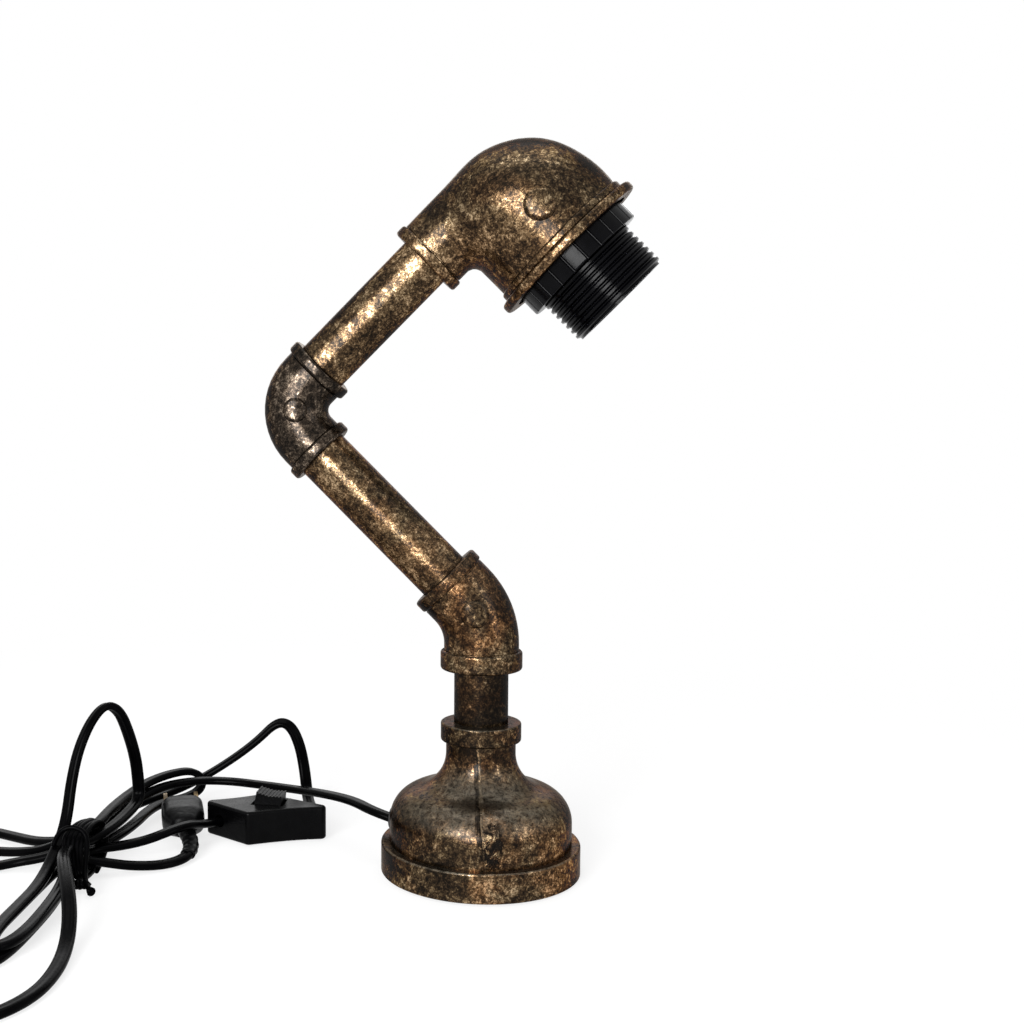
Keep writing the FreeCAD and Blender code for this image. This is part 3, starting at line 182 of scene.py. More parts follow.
# Noise of the bronze: scale, detail, roughness, distortion.
FLECK = (1500.0, 3.0, 0.70, 0.2)
SPECK = (560.0, 5.0, 0.74, 0.5)
PATCH = (95.0, 4.0, 0.62, 0.8)
CLOUDS = (27.0, 3.0, 0.55)
RUST = (52.0, 4.0, 0.66, 0.6)
PIT_SCALE = 1100.0
# Share of each layer in the tone that the ramp colours.
CLOUD_SHARE = 0.16
TONE_SHARES = (0.24, 0.36, 0.24)      # fleck, speck, patch
# Where a pattern begins and where it is full.
RUST_SPAN = (0.44, 0.60)
# Faces looking down: painted shade, redder and darker.
UNDERSIDE_SHADE_SPAN = (0.52, 0.12)
# Faces looking up: a grey film, partly dusty and partly painted sheen.
TOPSIDE_DUST_AND_SHEEN_SPAN = (0.60, 0.90)
DUST_GRAIN_SPAN = (0.34, 0.60)
PIT_SPAN = (0.10, 0.34)
TONE_SPAN = (0.42, 0.60)
PIT_DARK = 0.60
BLACK_BROWN = (0.0040, 0.0027, 0.0016)
BROWN = (0.024, 0.0148, 0.0076)
GOLD_BROWN = (0.100, 0.067, 0.034)
PALE_GOLD = (0.45, 0.345, 0.215)
# Redder and darker: the tint of the rusty patches and of the painted shade below.
RUST_AND_SHADE_TINT = (1.22, 0.80, 0.55)
# Grey of the film on top: partly dusty, partly painted sheen.
GREY_DUST_AND_SHEEN = (0.125, 0.108, 0.082)
# Relief of the clouds, patches, speckle and pits: depth and strength.
BRONZE_RELIEF = ((0.0014, 0.07), (0.0005, 0.15), (0.00012, 0.32), (0.00007, 0.18))
BRONZE_METALLIC = 0.94
COAT = 0.10
COAT_ROUGH = 0.20
EDGE_TINT = (0.30, 0.24, 0.18)    # darkens the metal where it turns away


def bronze(name, stops, rough=(0.21, 0.43), grain=1.0, red=0.30, under=0.55, dust_and_sheen=0.20, seam=False):
    """Antique bronze: fine speckle over broad patches, red-brown below, and a grey film on top.

    Below, rusty red patches mix with painted shade that reddens and darkens the faces looking down; on top,
    the grey film is partly dusty and partly painted sheen. rough is the roughness of the bright and of the
    dark speckle, grain scales the relief, and the other three numbers say how strong the red patches, the
    painted shade below and the grey film on top are.
    """
    f = Finish(name)
    fleck, speck, patch, clouds = [f.noise(*layer) for layer in (FLECK, SPECK, PATCH, CLOUDS)]
    tone = f.math("MULTIPLY", clouds, CLOUD_SHARE)
    for layer, share in zip((fleck, speck, patch), TONE_SHARES):
        tone = f.math("ADD", tone, f.math("MULTIPLY", layer, share))
    colour = f.ramp(tone, stops)
    top = f.upward()
    rust_and_underside_shade = f.math("MULTIPLY", f.span(f.noise(*RUST), *RUST_SPAN), red)
    # Painted shade: faces that look down are made redder and darker, on top of the rusty patches.
    rust_and_underside_shade = f.math("MAXIMUM", rust_and_underside_shade, f.math("MULTIPLY", f.span(top, *UNDERSIDE_SHADE_SPAN), under))
    colour = f.mix(rust_and_underside_shade, colour, RUST_AND_SHADE_TINT, "MULTIPLY")
    # A grey film on faces that look up: dusty grain and painted sheen.
    dust_and_sheen_mask = f.math("MULTIPLY", f.span(top, *TOPSIDE_DUST_AND_SHEEN_SPAN), f.span(speck, *DUST_GRAIN_SPAN))
    colour = f.mix(f.math("MULTIPLY", dust_and_sheen_mask, dust_and_sheen), colour, GREY_DUST_AND_SHEEN)
    pits = f.span(f.cells(PIT_SCALE), *PIT_SPAN)
    colour = f.mix(f.math("MULTIPLY", f.math("SUBTRACT", 1.0, pits), PIT_DARK), colour, BLACK_BROWN)
    heights = [(layer, depth, strength * grain)
               for layer, (depth, strength) in zip((clouds, patch, speck, pits), BRONZE_RELIEF)]
    if seam:
        colour, relief = bell_seam(f, colour)
        heights += relief
    f.link(colour, f.shader.inputs["Base Color"])
    bright_rough, dark_rough = rough
    f.link(f.span(tone, *TONE_SPAN, dark_rough, bright_rough), f.shader.inputs["Roughness"])
    f.shader.inputs["Metallic"].default_value = BRONZE_METALLIC
    f.shader.inputs["Coat Weight"].default_value = COAT
    f.shader.inputs["Coat Roughness"].default_value = COAT_ROUGH
    f.shader.inputs["Specular Tint"].default_value = (*EDGE_TINT, 1.0)
    f.bump(heights)
    return f.material


# The parting line down the bell's front.
SEAM_X = 0.0028                           # where it meets the floor
SEAM_LEAN = 0.096                         # how far it leans to -X per metre up
SEAM_WANDER = (120.0, 3.0)                # noise: scale, detail
SEAM_WANDERS_BY = 0.0024
SEAM_FRONT = (-0.008, -0.011)             # y, fades in
SEAM_TOP = (0.0500, 0.0460)               # z, fades in below the neck
SEAM_ON_RIM = (0.0095, 0.0150, 0.40, 1.0)    # z and strength, fainter on the rim
SEAM_WEAR = (210.0, 3.0, 0.65)            # noise: scale, detail, roughness
SEAM_WEAR_SPAN = (0.36, 0.56, 0.35, 1.0)
LINE_EDGE = (0.00095, 0.00030)            # from its edge to its full depth, off its middle
# Painted shade in the line's groove.
GROOVE_SHADE_COLOUR = (0.0040, 0.0028, 0.0018)
GROOVE_SHADE = 0.94
RIDGE_OFF = 0.0012                        # the raised side of the line
RIDGE_EDGE = (0.00085, 0.00025)
# Painted highlight along the raised side.
RIDGE_HIGHLIGHT_COLOUR = (0.26, 0.195, 0.120)
RIDGE_HIGHLIGHT = 0.18
SEAM_RELIEF = (0.0005, 0.7)               # depth, strength
# The chipped patch beside it.
CHIP_MIDDLE = (0.0052, -0.0335, 0.0196)
CHIP_SIZE = (0.0038, 0.02, 0.0080)
CHIP_NOISE = (330.0, 4.0, 0.7, 1.2)       # scale, detail, roughness, distortion
CHIP_RAGGED = 2.6
CHIP_EDGE = (1.0, 0.5)
CHIP_DARK = (0.0040, 0.0030, 0.0022)
CHIP_DARK_SPAN = (0.56, 0.46)
CHIP_BRIGHT = (0.50, 0.38, 0.22)
CHIP_BRIGHT_SPAN = (0.56, 0.66, 0.0, 0.8)
CHIP_RELIEF = (0.0011, 0.8)               # depth, strength


def bell_seam(f, colour):
    """Down the bell's front: the mould's parting line, a groove in painted shade with a painted highlight
    along its raised side, and beside it a rough chipped patch.
    """
    split = f.add("ShaderNodeSeparateXYZ")
    f.link(f.place.outputs["Object"], split.inputs["Vector"])
    x, y, z = split.outputs
    wander = f.math("MULTIPLY", f.math("SUBTRACT", f.noise(*SEAM_WANDER), 0.5), SEAM_WANDERS_BY)
    aside = f.math("SUBTRACT", f.math("ADD", x, f.math("MULTIPLY", z, SEAM_LEAN)), SEAM_X)
    aside = f.math("ADD", aside, wander)
    front = f.math("MULTIPLY", f.span(y, *SEAM_FRONT), f.span(z, *SEAM_TOP))
    front = f.math("MULTIPLY", front, f.span(z, *SEAM_ON_RIM))
    worn = f.math("MULTIPLY", f.span(f.noise(*SEAM_WEAR), *SEAM_WEAR_SPAN), front)
    line = f.math("MULTIPLY", f.span(f.math("ABSOLUTE", aside), *LINE_EDGE), worn)
    off_ridge = f.math("ABSOLUTE", f.math("SUBTRACT", aside, RIDGE_OFF))
    ridge = f.math("MULTIPLY", f.span(off_ridge, *RIDGE_EDGE), worn)
    # Painted highlight along the ridge, then painted shade in the groove.
    colour = f.mix(f.math("MULTIPLY", ridge, RIDGE_HIGHLIGHT), colour, RIDGE_HIGHLIGHT_COLOUR)
    colour = f.mix(f.math("MULTIPLY", line, GROOVE_SHADE), colour, GROOVE_SHADE_COLOUR)
    reach = 0.0
    for part, middle, size in zip((x, y, z), CHIP_MIDDLE, CHIP_SIZE):
        step = f.math("DIVIDE", f.math("SUBTRACT", part, middle), size)
        reach = f.math("ADD", f.math("MULTIPLY", step, step), reach)
    broken = f.noise(*CHIP_NOISE)
    ragged = f.math("MULTIPLY", f.math("SUBTRACT", broken, 0.5), CHIP_RAGGED)
    chip = f.span(f.math("ADD", reach, ragged), *CHIP_EDGE)
    colour = f.mix(f.math("MULTIPLY", chip, f.span(broken, *CHIP_DARK_SPAN)), colour, CHIP_DARK)
    colour = f.mix(f.math("MULTIPLY", chip, f.span(broken, *CHIP_BRIGHT_SPAN)), colour, CHIP_BRIGHT)
    raised = f.math("SUBTRACT", ridge, line)
    rough = f.math("MULTIPLY", chip, broken)
    return colour, [(raised, *SEAM_RELIEF), (rough, *CHIP_RELIEF)]


# Plastic and rubber: noise as scale, detail, roughness, distortion.
MARKS = (60.0, 5.0, 0.65)
MOULD_GRAIN = (1800.0, 2.0, 0.5)
SWIRL = (240.0, 3.0, 0.6, 1.2)
MARK_SPAN = (0.40, 0.72)
MARK_ROUGH_SPAN = (0.30, 0.70)
MARK_ROUGH = (-0.06, 0.10)        # change of the roughness, unmarked and marked
MARK_GAIN = 1.8                   # marks are lighter than the colour by a factor and a step
MARK_STEP = 0.0006
SWIRL_RELIEF = (0.0004, 0.12)     # depth, strength
GRAIN_DEPTH = 0.00004


def plastic(name, colour, rough, coarse=0.0, fine=0.25, specular=0.5):
    """Moulded plastic or rubber: a moulded grain, and faint handling marks that are lighter and duller."""
    f = Finish(name)
    marks = f.noise(*MARKS)
    grain = f.noise(*MOULD_GRAIN)
    swirl = f.noise(*SWIRL)
    lifted = tuple(min(1.0, c * MARK_GAIN + MARK_STEP) for c in colour)
    f.link(f.mix(f.span(marks, *MARK_SPAN), colour, lifted), f.shader.inputs["Base Color"])
    smooth, dull = [rough + change for change in MARK_ROUGH]
    f.link(f.span(marks, *MARK_ROUGH_SPAN, smooth, dull), f.shader.inputs["Roughness"])
    f.shader.inputs["Specular IOR Level"].default_value = specular
    depth, strength = SWIRL_RELIEF
    f.bump([(swirl, depth, strength + coarse), (grain, GRAIN_DEPTH, fine)])
    return f.material


# Turned or plated metal: noise as scale, detail, roughness, distortion and stretch.
STAIN = (140.0, 4.0, 0.6)
SCRATCH = (900.0, 3.0, 0.7, 0.0, (1.0, 1.0, 9.0))
STAIN_SPAN = (0.35, 0.70)
STAIN_ROUGH_SPAN = (0.30, 0.70)
STAIN_DARK = 0.55
STAIN_ROUGH = 0.18
SCRATCH_RELIEF = (0.00003, 0.35)    # depth, strength


def steel(name, colour, rough):
    """Turned or plated metal: fine scratches and a slight stain."""
    f = Finish(name)
    stain = f.noise(*STAIN)
    scratch = f.noise(*SCRATCH)
    darker = tuple(c * STAIN_DARK for c in colour)
    f.link(f.mix(f.span(stain, *STAIN_SPAN), colour, darker), f.shader.inputs["Base Color"])
    f.link(f.span(stain, *STAIN_ROUGH_SPAN, rough, rough + STAIN_ROUGH), f.shader.inputs["Roughness"])
    f.shader.inputs["Metallic"].default_value = 1.0
    f.bump([(scratch, *SCRATCH_RELIEF)])
    return f.material


# Ramps from the tone to a colour.
BRONZE = [(0.440, BLACK_BROWN), (0.494, BROWN), (0.545, GOLD_BROWN), (0.608, PALE_GOLD)]
GREY_BRONZE = [(0.448, (0.0036, 0.0028, 0.0022)), (0.500, (0.018, 0.0130, 0.0092)),
               (0.552, (0.068, 0.052, 0.038)), (0.612, (0.34, 0.275, 0.205))]


def shifted(step, gain):
    """The bronze ramp moved along the tone, with its colours scaled."""
    return [(at + step, tuple(c * gain for c in colour)) for at, colour in BRONZE]


# One finish for each of the record's slots.
FINISHES = {
    "bronze_casting": bronze("bronze_casting", shifted(-0.004, 1.15), dust_and_sheen=0.20),
    "bronze_pipe": bronze("bronze_pipe", shifted(-0.006, 1.15), grain=0.75, red=0.20, under=0.30, dust_and_sheen=0.15),
    "dark_casting": bronze("dark_casting", GREY_BRONZE, rough=(0.19, 0.38), red=0.08, under=0.10, dust_and_sheen=0.12),
    "ballast_steel": steel("ballast_steel", (0.24, 0.24, 0.25), 0.45),
    "screw_steel": steel("screw_steel", (0.55, 0.55, 0.55), 0.28),
    "black_steel": steel("black_steel", (0.012, 0.012, 0.013), 0.38),
    "contact_brass": steel("contact_brass", (0.36, 0.25, 0.12), 0.34),
    "pad_rubber": plastic("pad_rubber", (0.012, 0.012, 0.012), 0.80, coarse=0.3, fine=0.5, specular=0.2),
    "grommet_rubber": plastic("grommet_rubber", (0.007, 0.007, 0.007), 0.62, specular=0.2),
    "anchor_plastic": plastic("anchor_plastic", (0.020, 0.020, 0.021), 0.50),
    "insulator_white": plastic("insulator_white", (0.62, 0.61, 0.57), 0.40),
    "holder_black": plastic("holder_black", (0.0005, 0.0005, 0.0008), 0.16, fine=0.12, specular=0.07),
    "cord_black": plastic("cord_black", (0.0002, 0.0002, 0.0003), 0.24,
                          coarse=0.05, fine=0.15, specular=0.020),
    "switch_black": plastic("switch_black", (0.0004, 0.0004, 0.0005), 0.26,
                            coarse=0.22, fine=0.45, specular=0.048),
    "plug_black": plastic("plug_black", (0.0008, 0.0008, 0.0009), 0.34, coarse=0.45, fine=0.6, specular=0.06),
    "tie_black": plastic("tie_black", (0.0002, 0.0002, 0.0003), 0.26, specular=0.014),
}
# Nodes whose casting or pipe is redder, duller, or greyer on top than its slot's; the red includes painted
# shade on faces that look down, and the grey on top is partly dusty and partly painted sheen.
OF_NODE = {
    "base_bell": bronze("bronze_bell", shifted(-0.002, 1.20), red=0.60, under=0.70, dust_and_sheen=0.85, seam=True),
    "nipple": bronze("bronze_nipple", shifted(0.026, 0.58), rough=(0.42, 0.62), red=0.55),
    "lower_elbow": bronze("bronze_lower", shifted(0.006, 1.08), rough=(0.22, 0.44), red=0.70, dust_and_sheen=0.30),
    "lower_pipe": bronze("bronze_arm", shifted(-0.002, 1.15), grain=0.8, red=0.40, under=0.50, dust_and_sheen=0.25),
}


def dress():
    """Gives every CAD node the finish of its slot, or its own variant of it."""
    slots = {part["node"]: part["material_slot"] for part in frame["record"]["subparts"]}
    for name, piece in nodes.items():
        piece.data.materials.clear()
        piece.data.materials.append(OF_NODE.get(name) or FINISHES[slots[name]])


dress()


# ---- shared ways to build a piece ---------------------------------------------------------------------
ROUTE_STEPS = 14          # between two points of a route
UPRIGHT = 1e-4            # a line this near to upright has no level side


def route(name, points):
    """The smooth line along a route in mm, read from a NURBS spline with the route's points."""
    data = bpy.data.curves.new(name + "_route", "CURVE")
    data.dimensions = "3D"
    data.resolution_u = ROUTE_STEPS
    spline = data.splines.new("NURBS")
    spline.points.add(len(points) - 1)
    for target, p in zip(spline.points, points):
        target.co = (p[0] * MM, p[1] * MM, p[2] * MM, 1.0)
    spline.order_u = 3
    spline.use_endpoint_u = True
    holder = bpy.data.objects.new(name + "_route", data)
    mesh = bpy.data.meshes.new_from_object(holder)
    line = [v.co.copy() for v in mesh.vertices]
    bpy.data.meshes.remove(mesh)
    bpy.data.objects.remove(holder)
    return line


def sides(line, pull):
    """Direction and width direction along a line: carried on without twist, and pulled towards level."""
    last = len(line) - 1
    out = []
    for i in range(len(line)):
        t = (line[min(i + 1, last)] - line[max(i - 1, 0)]).normalized()
        if not out:
            wide = t.cross(UP).normalized()
        wide = (wide - t * wide.dot(t)).normalized()
        level = t.cross(UP)
        flat = level.length
        if flat > UPRIGHT:
            level = level.normalized() * (1.0 if level.dot(wide) >= 0 else -1.0)
            wide = (wide + level * (pull * flat)).normalized()
            wide = (wide - t * wide.dot(t)).normalized()
        out.append((t, wide))
    return out


def skin_rows(bm, rows):
    """Faces between rings of vertices, and one across each end."""
    n = len(rows[0])
    for a, b in zip(rows, rows[1:]):
        for k in range(n):
            bm.faces.new((a[k], a[(k + 1) % n], b[(k + 1) % n], b[k]))
    bm.faces.new(list(reversed(rows[0])))
    bm.faces.new(rows[-1])


def add_piece(name, bm, body, slot, replaced=(), material=None):
    """A smooth piece that rides a body, in its slot's finish unless it is given a material."""
    bmesh.ops.recalc_face_normals(bm, faces=bm.faces)
    for face in bm.faces:
        face.smooth = True
    mesh = bpy.data.meshes.new(name)
    bm.to_mesh(mesh)
    bm.free()
    piece = bpy.data.objects.new(name, mesh)
    bpy.context.scene.collection.objects.link(piece)
    mesh.materials.append(material or FINISHES[slot])
    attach(piece, body)
    if replaced:
        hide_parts(*replaced)
    return piece


# ---- lead: one flat twin flex in two stretches, either side of the switch, in mm -----------------------
LEAD_WIDE = 5.0
LEAD_THICK = 3.0
LEAD_PULL = 0.06          # how strongly the lead turns its flat side to the floor
CORE_SWEEP = 230.0        # degrees of each core's round that show
CORE_STEPS = 8

# From the bell, through the tie, out and back in the side lobe, round by the plug, out and back in the
# front lobe, and on to the switch.
TO_SWITCH = [
    (-34.2, 7.3, 16.0), (-41.4, 8.8, 17.8), (-50, 19.5, 18.2), (-62, 33, 16.4), (-77, 47.5, 13.6),
    (-93, 57.0, 12.2), (-110, 60.5, 12.6), (-124, 57.5, 13.1), (-136, 48, 13.0), (-143.6, 31, 11.2),
    (-146.6, 12, 9.2), (-149, -1, 8.8), (-152, -6.5, 8.6), (-160, -5.5, 6.0), (-172, -0.5, 3.6),
    (-184, 7.5, 2.4), (-198, 14.5, 2.2), (-214, 17.8, 1.9), (-229, 16.8, 1.8), (-240, 10, 1.8),
    (-243, 1, 1.8), (-238, -7, 1.8), (-225, -9.0, 1.8), (-207, -7.8, 1.8), (-190, -8.2, 1.9),
    (-174, -10.8, 2.8), (-163, -12.8, 5.4), (-155, -12.4, 10.0), (-150, -9.4, 12.6),
    (-146, -5.5, 13.0), (-146.4, 10, 13.6), (-145, 28, 14.3), (-140.8, 44, 15.7), (-134, 55, 16.5),
    (-127, 62.8, 16.0), (-123.2, 67.2, 11.8), (-123.6, 65.8, 6.8), (-128.5, 61, 4.6), (-134.5, 57, 4.0),
    (-138.8, 49.5, 4.0), (-140, 38, 4.4), (-139.6, 24, 5.0), (-140.8, 8, 5.4), (-144.5, -6, 5.2),
    (-150.4, -19, 4.8), (-153.8, -32, 3.4), (-155, -46, 2.2), (-155.2, -62, 1.8), (-155, -80, 1.8),
    (-154.4, -95, 1.8), (-152.4, -105.5, 1.8), (-149, -108.8, 1.8), (-145.6, -105, 1.8), (-144, -94, 1.8),
    (-144, -77, 1.8), (-144.6, -60, 1.8), (-146.4, -44, 2.4), (-148.8, -31, 4.2), (-149, -20, 5.6),
    (-144, -12.6, 6.2), (-134.5, -8.4, 6.4), (-126, -4.8, 7.8), (-118, -0.6, 10.4), (-112.6, 7.4, 10.6),
    (-109.0, 16.6, 7.6), (-104.7, 23.5, 7.0)]

# From the switch, over its hump to the tie, round the big loop, up the arch, out and back in the front
# lobe, and on to the plug.
TO_PLUG = [
    (-71.2, 32.1, 7.0), (-68.9, 37.2, 7.0), (-69.2, 43, 5.4), (-74.5, 60, 3.2), (-77.5, 71, 4.5),
    (-79.6, 76.8, 14), (-81.9, 77.6, 25), (-86, 78.2, 33.4), (-92, 77.6, 35.0), (-101.2, 76.4, 25.8),
    (-113, 74.9, 17.0), (-126, 72, 9.2), (-137, 64, 5.2), (-147.5, 49, 4.4), (-153.5, 30, 4.2),
    (-155, 10, 4.6), (-152.6, -5, 5.4), (-151.4, -13.5, 7.6), (-155.5, -19.6, 6.8), (-163, -20.4, 4.4),
    (-172, -20.6, 2.6), (-182, -26.5, 1.8), (-190.5, -42, 1.8), (-194, -67, 1.8), (-193, -95, 1.8),
    (-188, -118, 1.8), (-178, -137, 1.8), (-163, -147.5, 1.8), (-147, -149, 1.8), (-132, -141.5, 1.8),
    (-124.5, -127, 1.8), (-123.8, -110, 1.8), (-126.5, -93, 2.6), (-130, -80, 7.0), (-135, -68, 11.4),
    (-143, -50, 13.4), (-148, -36, 12.2), (-149, -26, 11.4), (-144.6, -16.5, 11.0), (-140.4, -7, 12.2),
    (-138.4, 8, 13.4), (-137.6, 21.5, 15.0), (-137.9, 21.5, 23), (-138.3, 19.5, 33), (-139.2, 13, 45),
    (-140.9, 7.8, 54.4), (-144.8, 4, 57.9), (-149, -1, 53), (-152.3, -7, 43), (-154, -11, 31),
    (-154.4, -14.5, 20), (-154.6, -20, 13.0), (-154.4, -29, 9.0), (-153.6, -38, 6.4), (-152.4, -52, 5.0),
    (-152.2, -70, 4.9), (-152, -86, 4.9), (-150.2, -98, 4.9), (-146.8, -101.8, 4.9), (-143.2, -98, 4.9),
    (-141.6, -88, 4.9), (-142, -72, 4.9), (-143.4, -54, 5.0), (-145.8, -40, 5.8), (-147.4, -30, 6.6),
    (-144.6, -24.8, 6.2), (-136.5, -22.4, 4.4), (-128, -19.6, 2.6), (-117.5, -15.6, 1.9),
    (-110.8, -7.6, 2.1), (-110.8, 2.0, 3.4), (-114.2, 8.4, 6.2), (-117, 14, 6.8)]


def twin_section():
    """Two round cores side by side, with a shallow groove between them."""
    r = LEAD_THICK / 2
    apart = LEAD_WIDE / 2 - r
    ring = []
    for centre, first in ((apart, -CORE_SWEEP / 2), (-apart, 180 - CORE_SWEEP / 2)):
        for i in range(CORE_STEPS + 1):
            a = math.radians(first + i * CORE_SWEEP / CORE_STEPS)
            ring.append((centre + r * math.cos(a), r * math.sin(a)))
    return ring


def flat_cord(name, points, replaced):
    """A stretch of the lead along its route, with the line through its middle."""
    line = route(name, points)
    ring = twin_section()
    bm = bmesh.new()
    rows = []
    for at, (t, wide) in zip(line, sides(line, LEAD_PULL)):
        high = t.cross(wide)
        rows.append([bm.verts.new(at + wide * (x * MM) + high * (y * MM)) for x, y in ring])
    skin_rows(bm, rows)
    return add_piece(name, bm, "base", "cord_black", replaced), line


lead_to_switch, line_to_switch = flat_cord(
    "lead_to_switch", TO_SWITCH, ("cord_lead", "cord_loop_right", "cord_to_switch", "cord_hank"))
lead_to_plug, line_to_plug = flat_cord(
    "lead_to_plug", TO_PLUG, ("cord_from_switch", "cord_big_loop", "cord_arch", "cord_to_plug"))

# ---- cast bosses, in mm --------------------------------------------------------------------------------
BOSS_RISE = 0.80
# From the middle outwards: share of the radius and of the rise; the last ring lies inside the casting.
BOSS_PROFILE = [(0.0, 1.0), (0.45, 1.0), (0.74, 0.98), (0.86, 0.90), (0.94, 0.66), (1.0, 0.30), (1.05, 0.06),
                (1.09, -0.4)]
BOSS_STEPS = 48
PROBE_FROM = 6            # above the casting's skin


def boss(name, node, body, slot, centre, radius):
    """Plain low round boss, which follows the casting under it."""
    casting = nodes[node].data
    skin = BVHTree.FromPolygons([v.co for v in casting.vertices], [p.vertices for p in casting.polygons])
    middle, out, _, _ = skin.find_nearest(Vector(centre) * MM)
    side = out.orthogonal().normalized()
    up = out.cross(side)
    bm = bmesh.new()
    rows = []
    for share, rise in BOSS_PROFILE:
        row = []
        for i in range(BOSS_STEPS if share else 1):
            turn = 2 * math.pi * i / BOSS_STEPS
            over = middle + (side * math.cos(turn) + up * math.sin(turn)) * (share * radius * MM)
            hit = skin.ray_cast(over + out * (PROBE_FROM * MM), -out)[0] or over
            row.append(bm.verts.new(hit + out * (rise * BOSS_RISE * MM)))
        rows.append(row)
    hub, first = rows[0][0], rows[1]
    for i in range(BOSS_STEPS):
        bm.faces.new((hub, first[i], first[(i + 1) % BOSS_STEPS]))
    for a, b in zip(rows[1:], rows[2:]):
        for i in range(BOSS_STEPS):
            j = (i + 1) % BOSS_STEPS
            bm.faces.new((a[i], b[i], b[j], a[j]))
    add_piece(name, bm, body, slot, material=casting.materials[0])


boss("head_boss", "head_elbow", "head", "bronze_casting", (19.6, -26.0, 240.6), 5.4)
boss("middle_boss", "middle_elbow", "forearm", "dark_casting", (-66.6, -20.0, 171.2), 4.2)
boss("lower_boss", "lower_elbow", "arm", "bronze_casting", (-1.9, -14.2, 98.1), 4.8)


# ---- the lead's tie, in mm -----------------------------------------------------------------------------
TIE_WIRE_R = 0.95
TIE_TURNS = 5
TIE_FLOAT = 0.1           # under the wire where it passes beneath the lead
SWAY = 0.45               # how far the turns stray, along and, by a share of it, up
SWAY_UP = 0.6
SWAY_PER_TURN = 2.1       # radians
SWAY_PER_STEP = 1.3
TUBE_STEPS = 10
KNOB = 1.75               # the wire's bent end is this much thicker than the wire
KNOB_FROM = 0.93          # share of the run where it begins to thicken
TWIST_APART = 0.85
TWIST_TURNS = 2.0
# Each turn, from its lowest front point up and round: the first turn and the last one.
FIRST_TURN = [(-144.4, -37.6, 2.5), (-148.6, -33.8, 9.4), (-152.0, -27.4, 15.0), (-150.6, -16.0, 17.2),
              (-148.0, -6.6, 15.8), (-147.2, -3.6, 8.4), (-146.6, -7.4, 2.3), (-145.4, -22.0, 1.2)]
LAST_TURN = [(-139.8, -37.2, 2.5), (-141.8, -33.2, 8.6), (-143.8, -26.2, 13.6), (-143.8, -15.6, 16.4),
             (-143.2, -7.0, 15.0), (-142.6, -4.0, 8.4), (-141.6, -8.0, 2.4), (-140.6, -22.0, 1.2)]
OVER_TOP = [(-155.4, -27.0, 11.6), (-154.4, -26.4, 15.2), (-151.4, -25.8, 18.0), (-147.6, -25.2, 18.4),
            (-144.2, -25.0, 16.6), (-142.6, -26.4, 13.4), (-141.9, -29.6, 9.6), (-140.9, -34.4, 5.8),
            (-139.5, -38.2, 3.4), (-137.6, -41.0, 2.4), (-136.4, -43.4, 2.1), (-134.9, -45.2, 2.0)]
TWIST = [(-145.0, -39.4, 2.3), (-142.6, -39.9, 2.4), (-140.2, -39.6, 2.2), (-137.8, -39.2, 2.6)]


def tie_turns():
    """Points of the wound wire: its turns spread on top and crowd together at the foot."""
    points = []
    for turn in range(TIE_TURNS):
        for step, (a, b) in enumerate(zip(FIRST_TURN, LAST_TURN)):
            share = (turn + step / len(FIRST_TURN)) / TIE_TURNS
            x, y, z = (p + (q - p) * share for p, q in zip(a, b))
            sway = SWAY * math.sin(SWAY_PER_TURN * turn + SWAY_PER_STEP * step)
            points.append((x, y + sway, max(z + SWAY_UP * sway, TIE_WIRE_R + TIE_FLOAT)))
    return points


def even(share):
    """The wire's radius, the same all along."""
    return TIE_WIRE_R


def knobbed(share):
    """The wire's radius, growing into a knob at its end."""
    return TIE_WIRE_R * (1 + (KNOB - 1) * max(0.0, share - KNOB_FROM) / (1 - KNOB_FROM))


def tube(bm, line, radius):
    """A round tube along a line, closed at both ends; the radius is a function of the share run."""
    rows = []
    for i, (at, (t, wide)) in enumerate(zip(line, sides(line, 0.0))):
        high = t.cross(wide)
        r = radius(i / (len(line) - 1)) * MM
        turns = [2 * math.pi * k / TUBE_STEPS for k in range(TUBE_STEPS)]
        rows.append([bm.verts.new(at + (wide * math.cos(a) + high * math.sin(a)) * r) for a in turns])
    skin_rows(bm, rows)


def wound_pair(points, apart, turns):
    """Two lines wound round each other along a route."""
    line = route("twist", points)
    frames = sides(line, 0.0)
    pair = []
    for start in (0.0, math.pi):
        strand = []
        for i, (at, (t, wide)) in enumerate(zip(line, frames)):
            turn = start + 2 * math.pi * turns * i / (len(line) - 1)
            strand.append(at + (wide * math.cos(turn) + t.cross(wide) * math.sin(turn)) * (apart * MM))
        pair.append(strand)
    return pair


def make_tie():
    """The wire wound round the bundle, its end laid over the top, and the twist of its two ends."""
    bm = bmesh.new()
    tube(bm, route("tie_turns", tie_turns()), even)
    tube(bm, route("tie_over", OVER_TOP), knobbed)
    for strand in wound_pair(TWIST, TWIST_APART, TWIST_TURNS):
        tube(bm, strand, even)
    return add_piece("wire_tie", bm, "base", "tie_black", ("twist_tie",))


# ---- plug and its sleeve, in mm ------------------------------------------------------------------------
PLUG_REAR = (-117.0, 14.0, 6.8)
PLUG_HEADING = 107.5      # degrees from +X
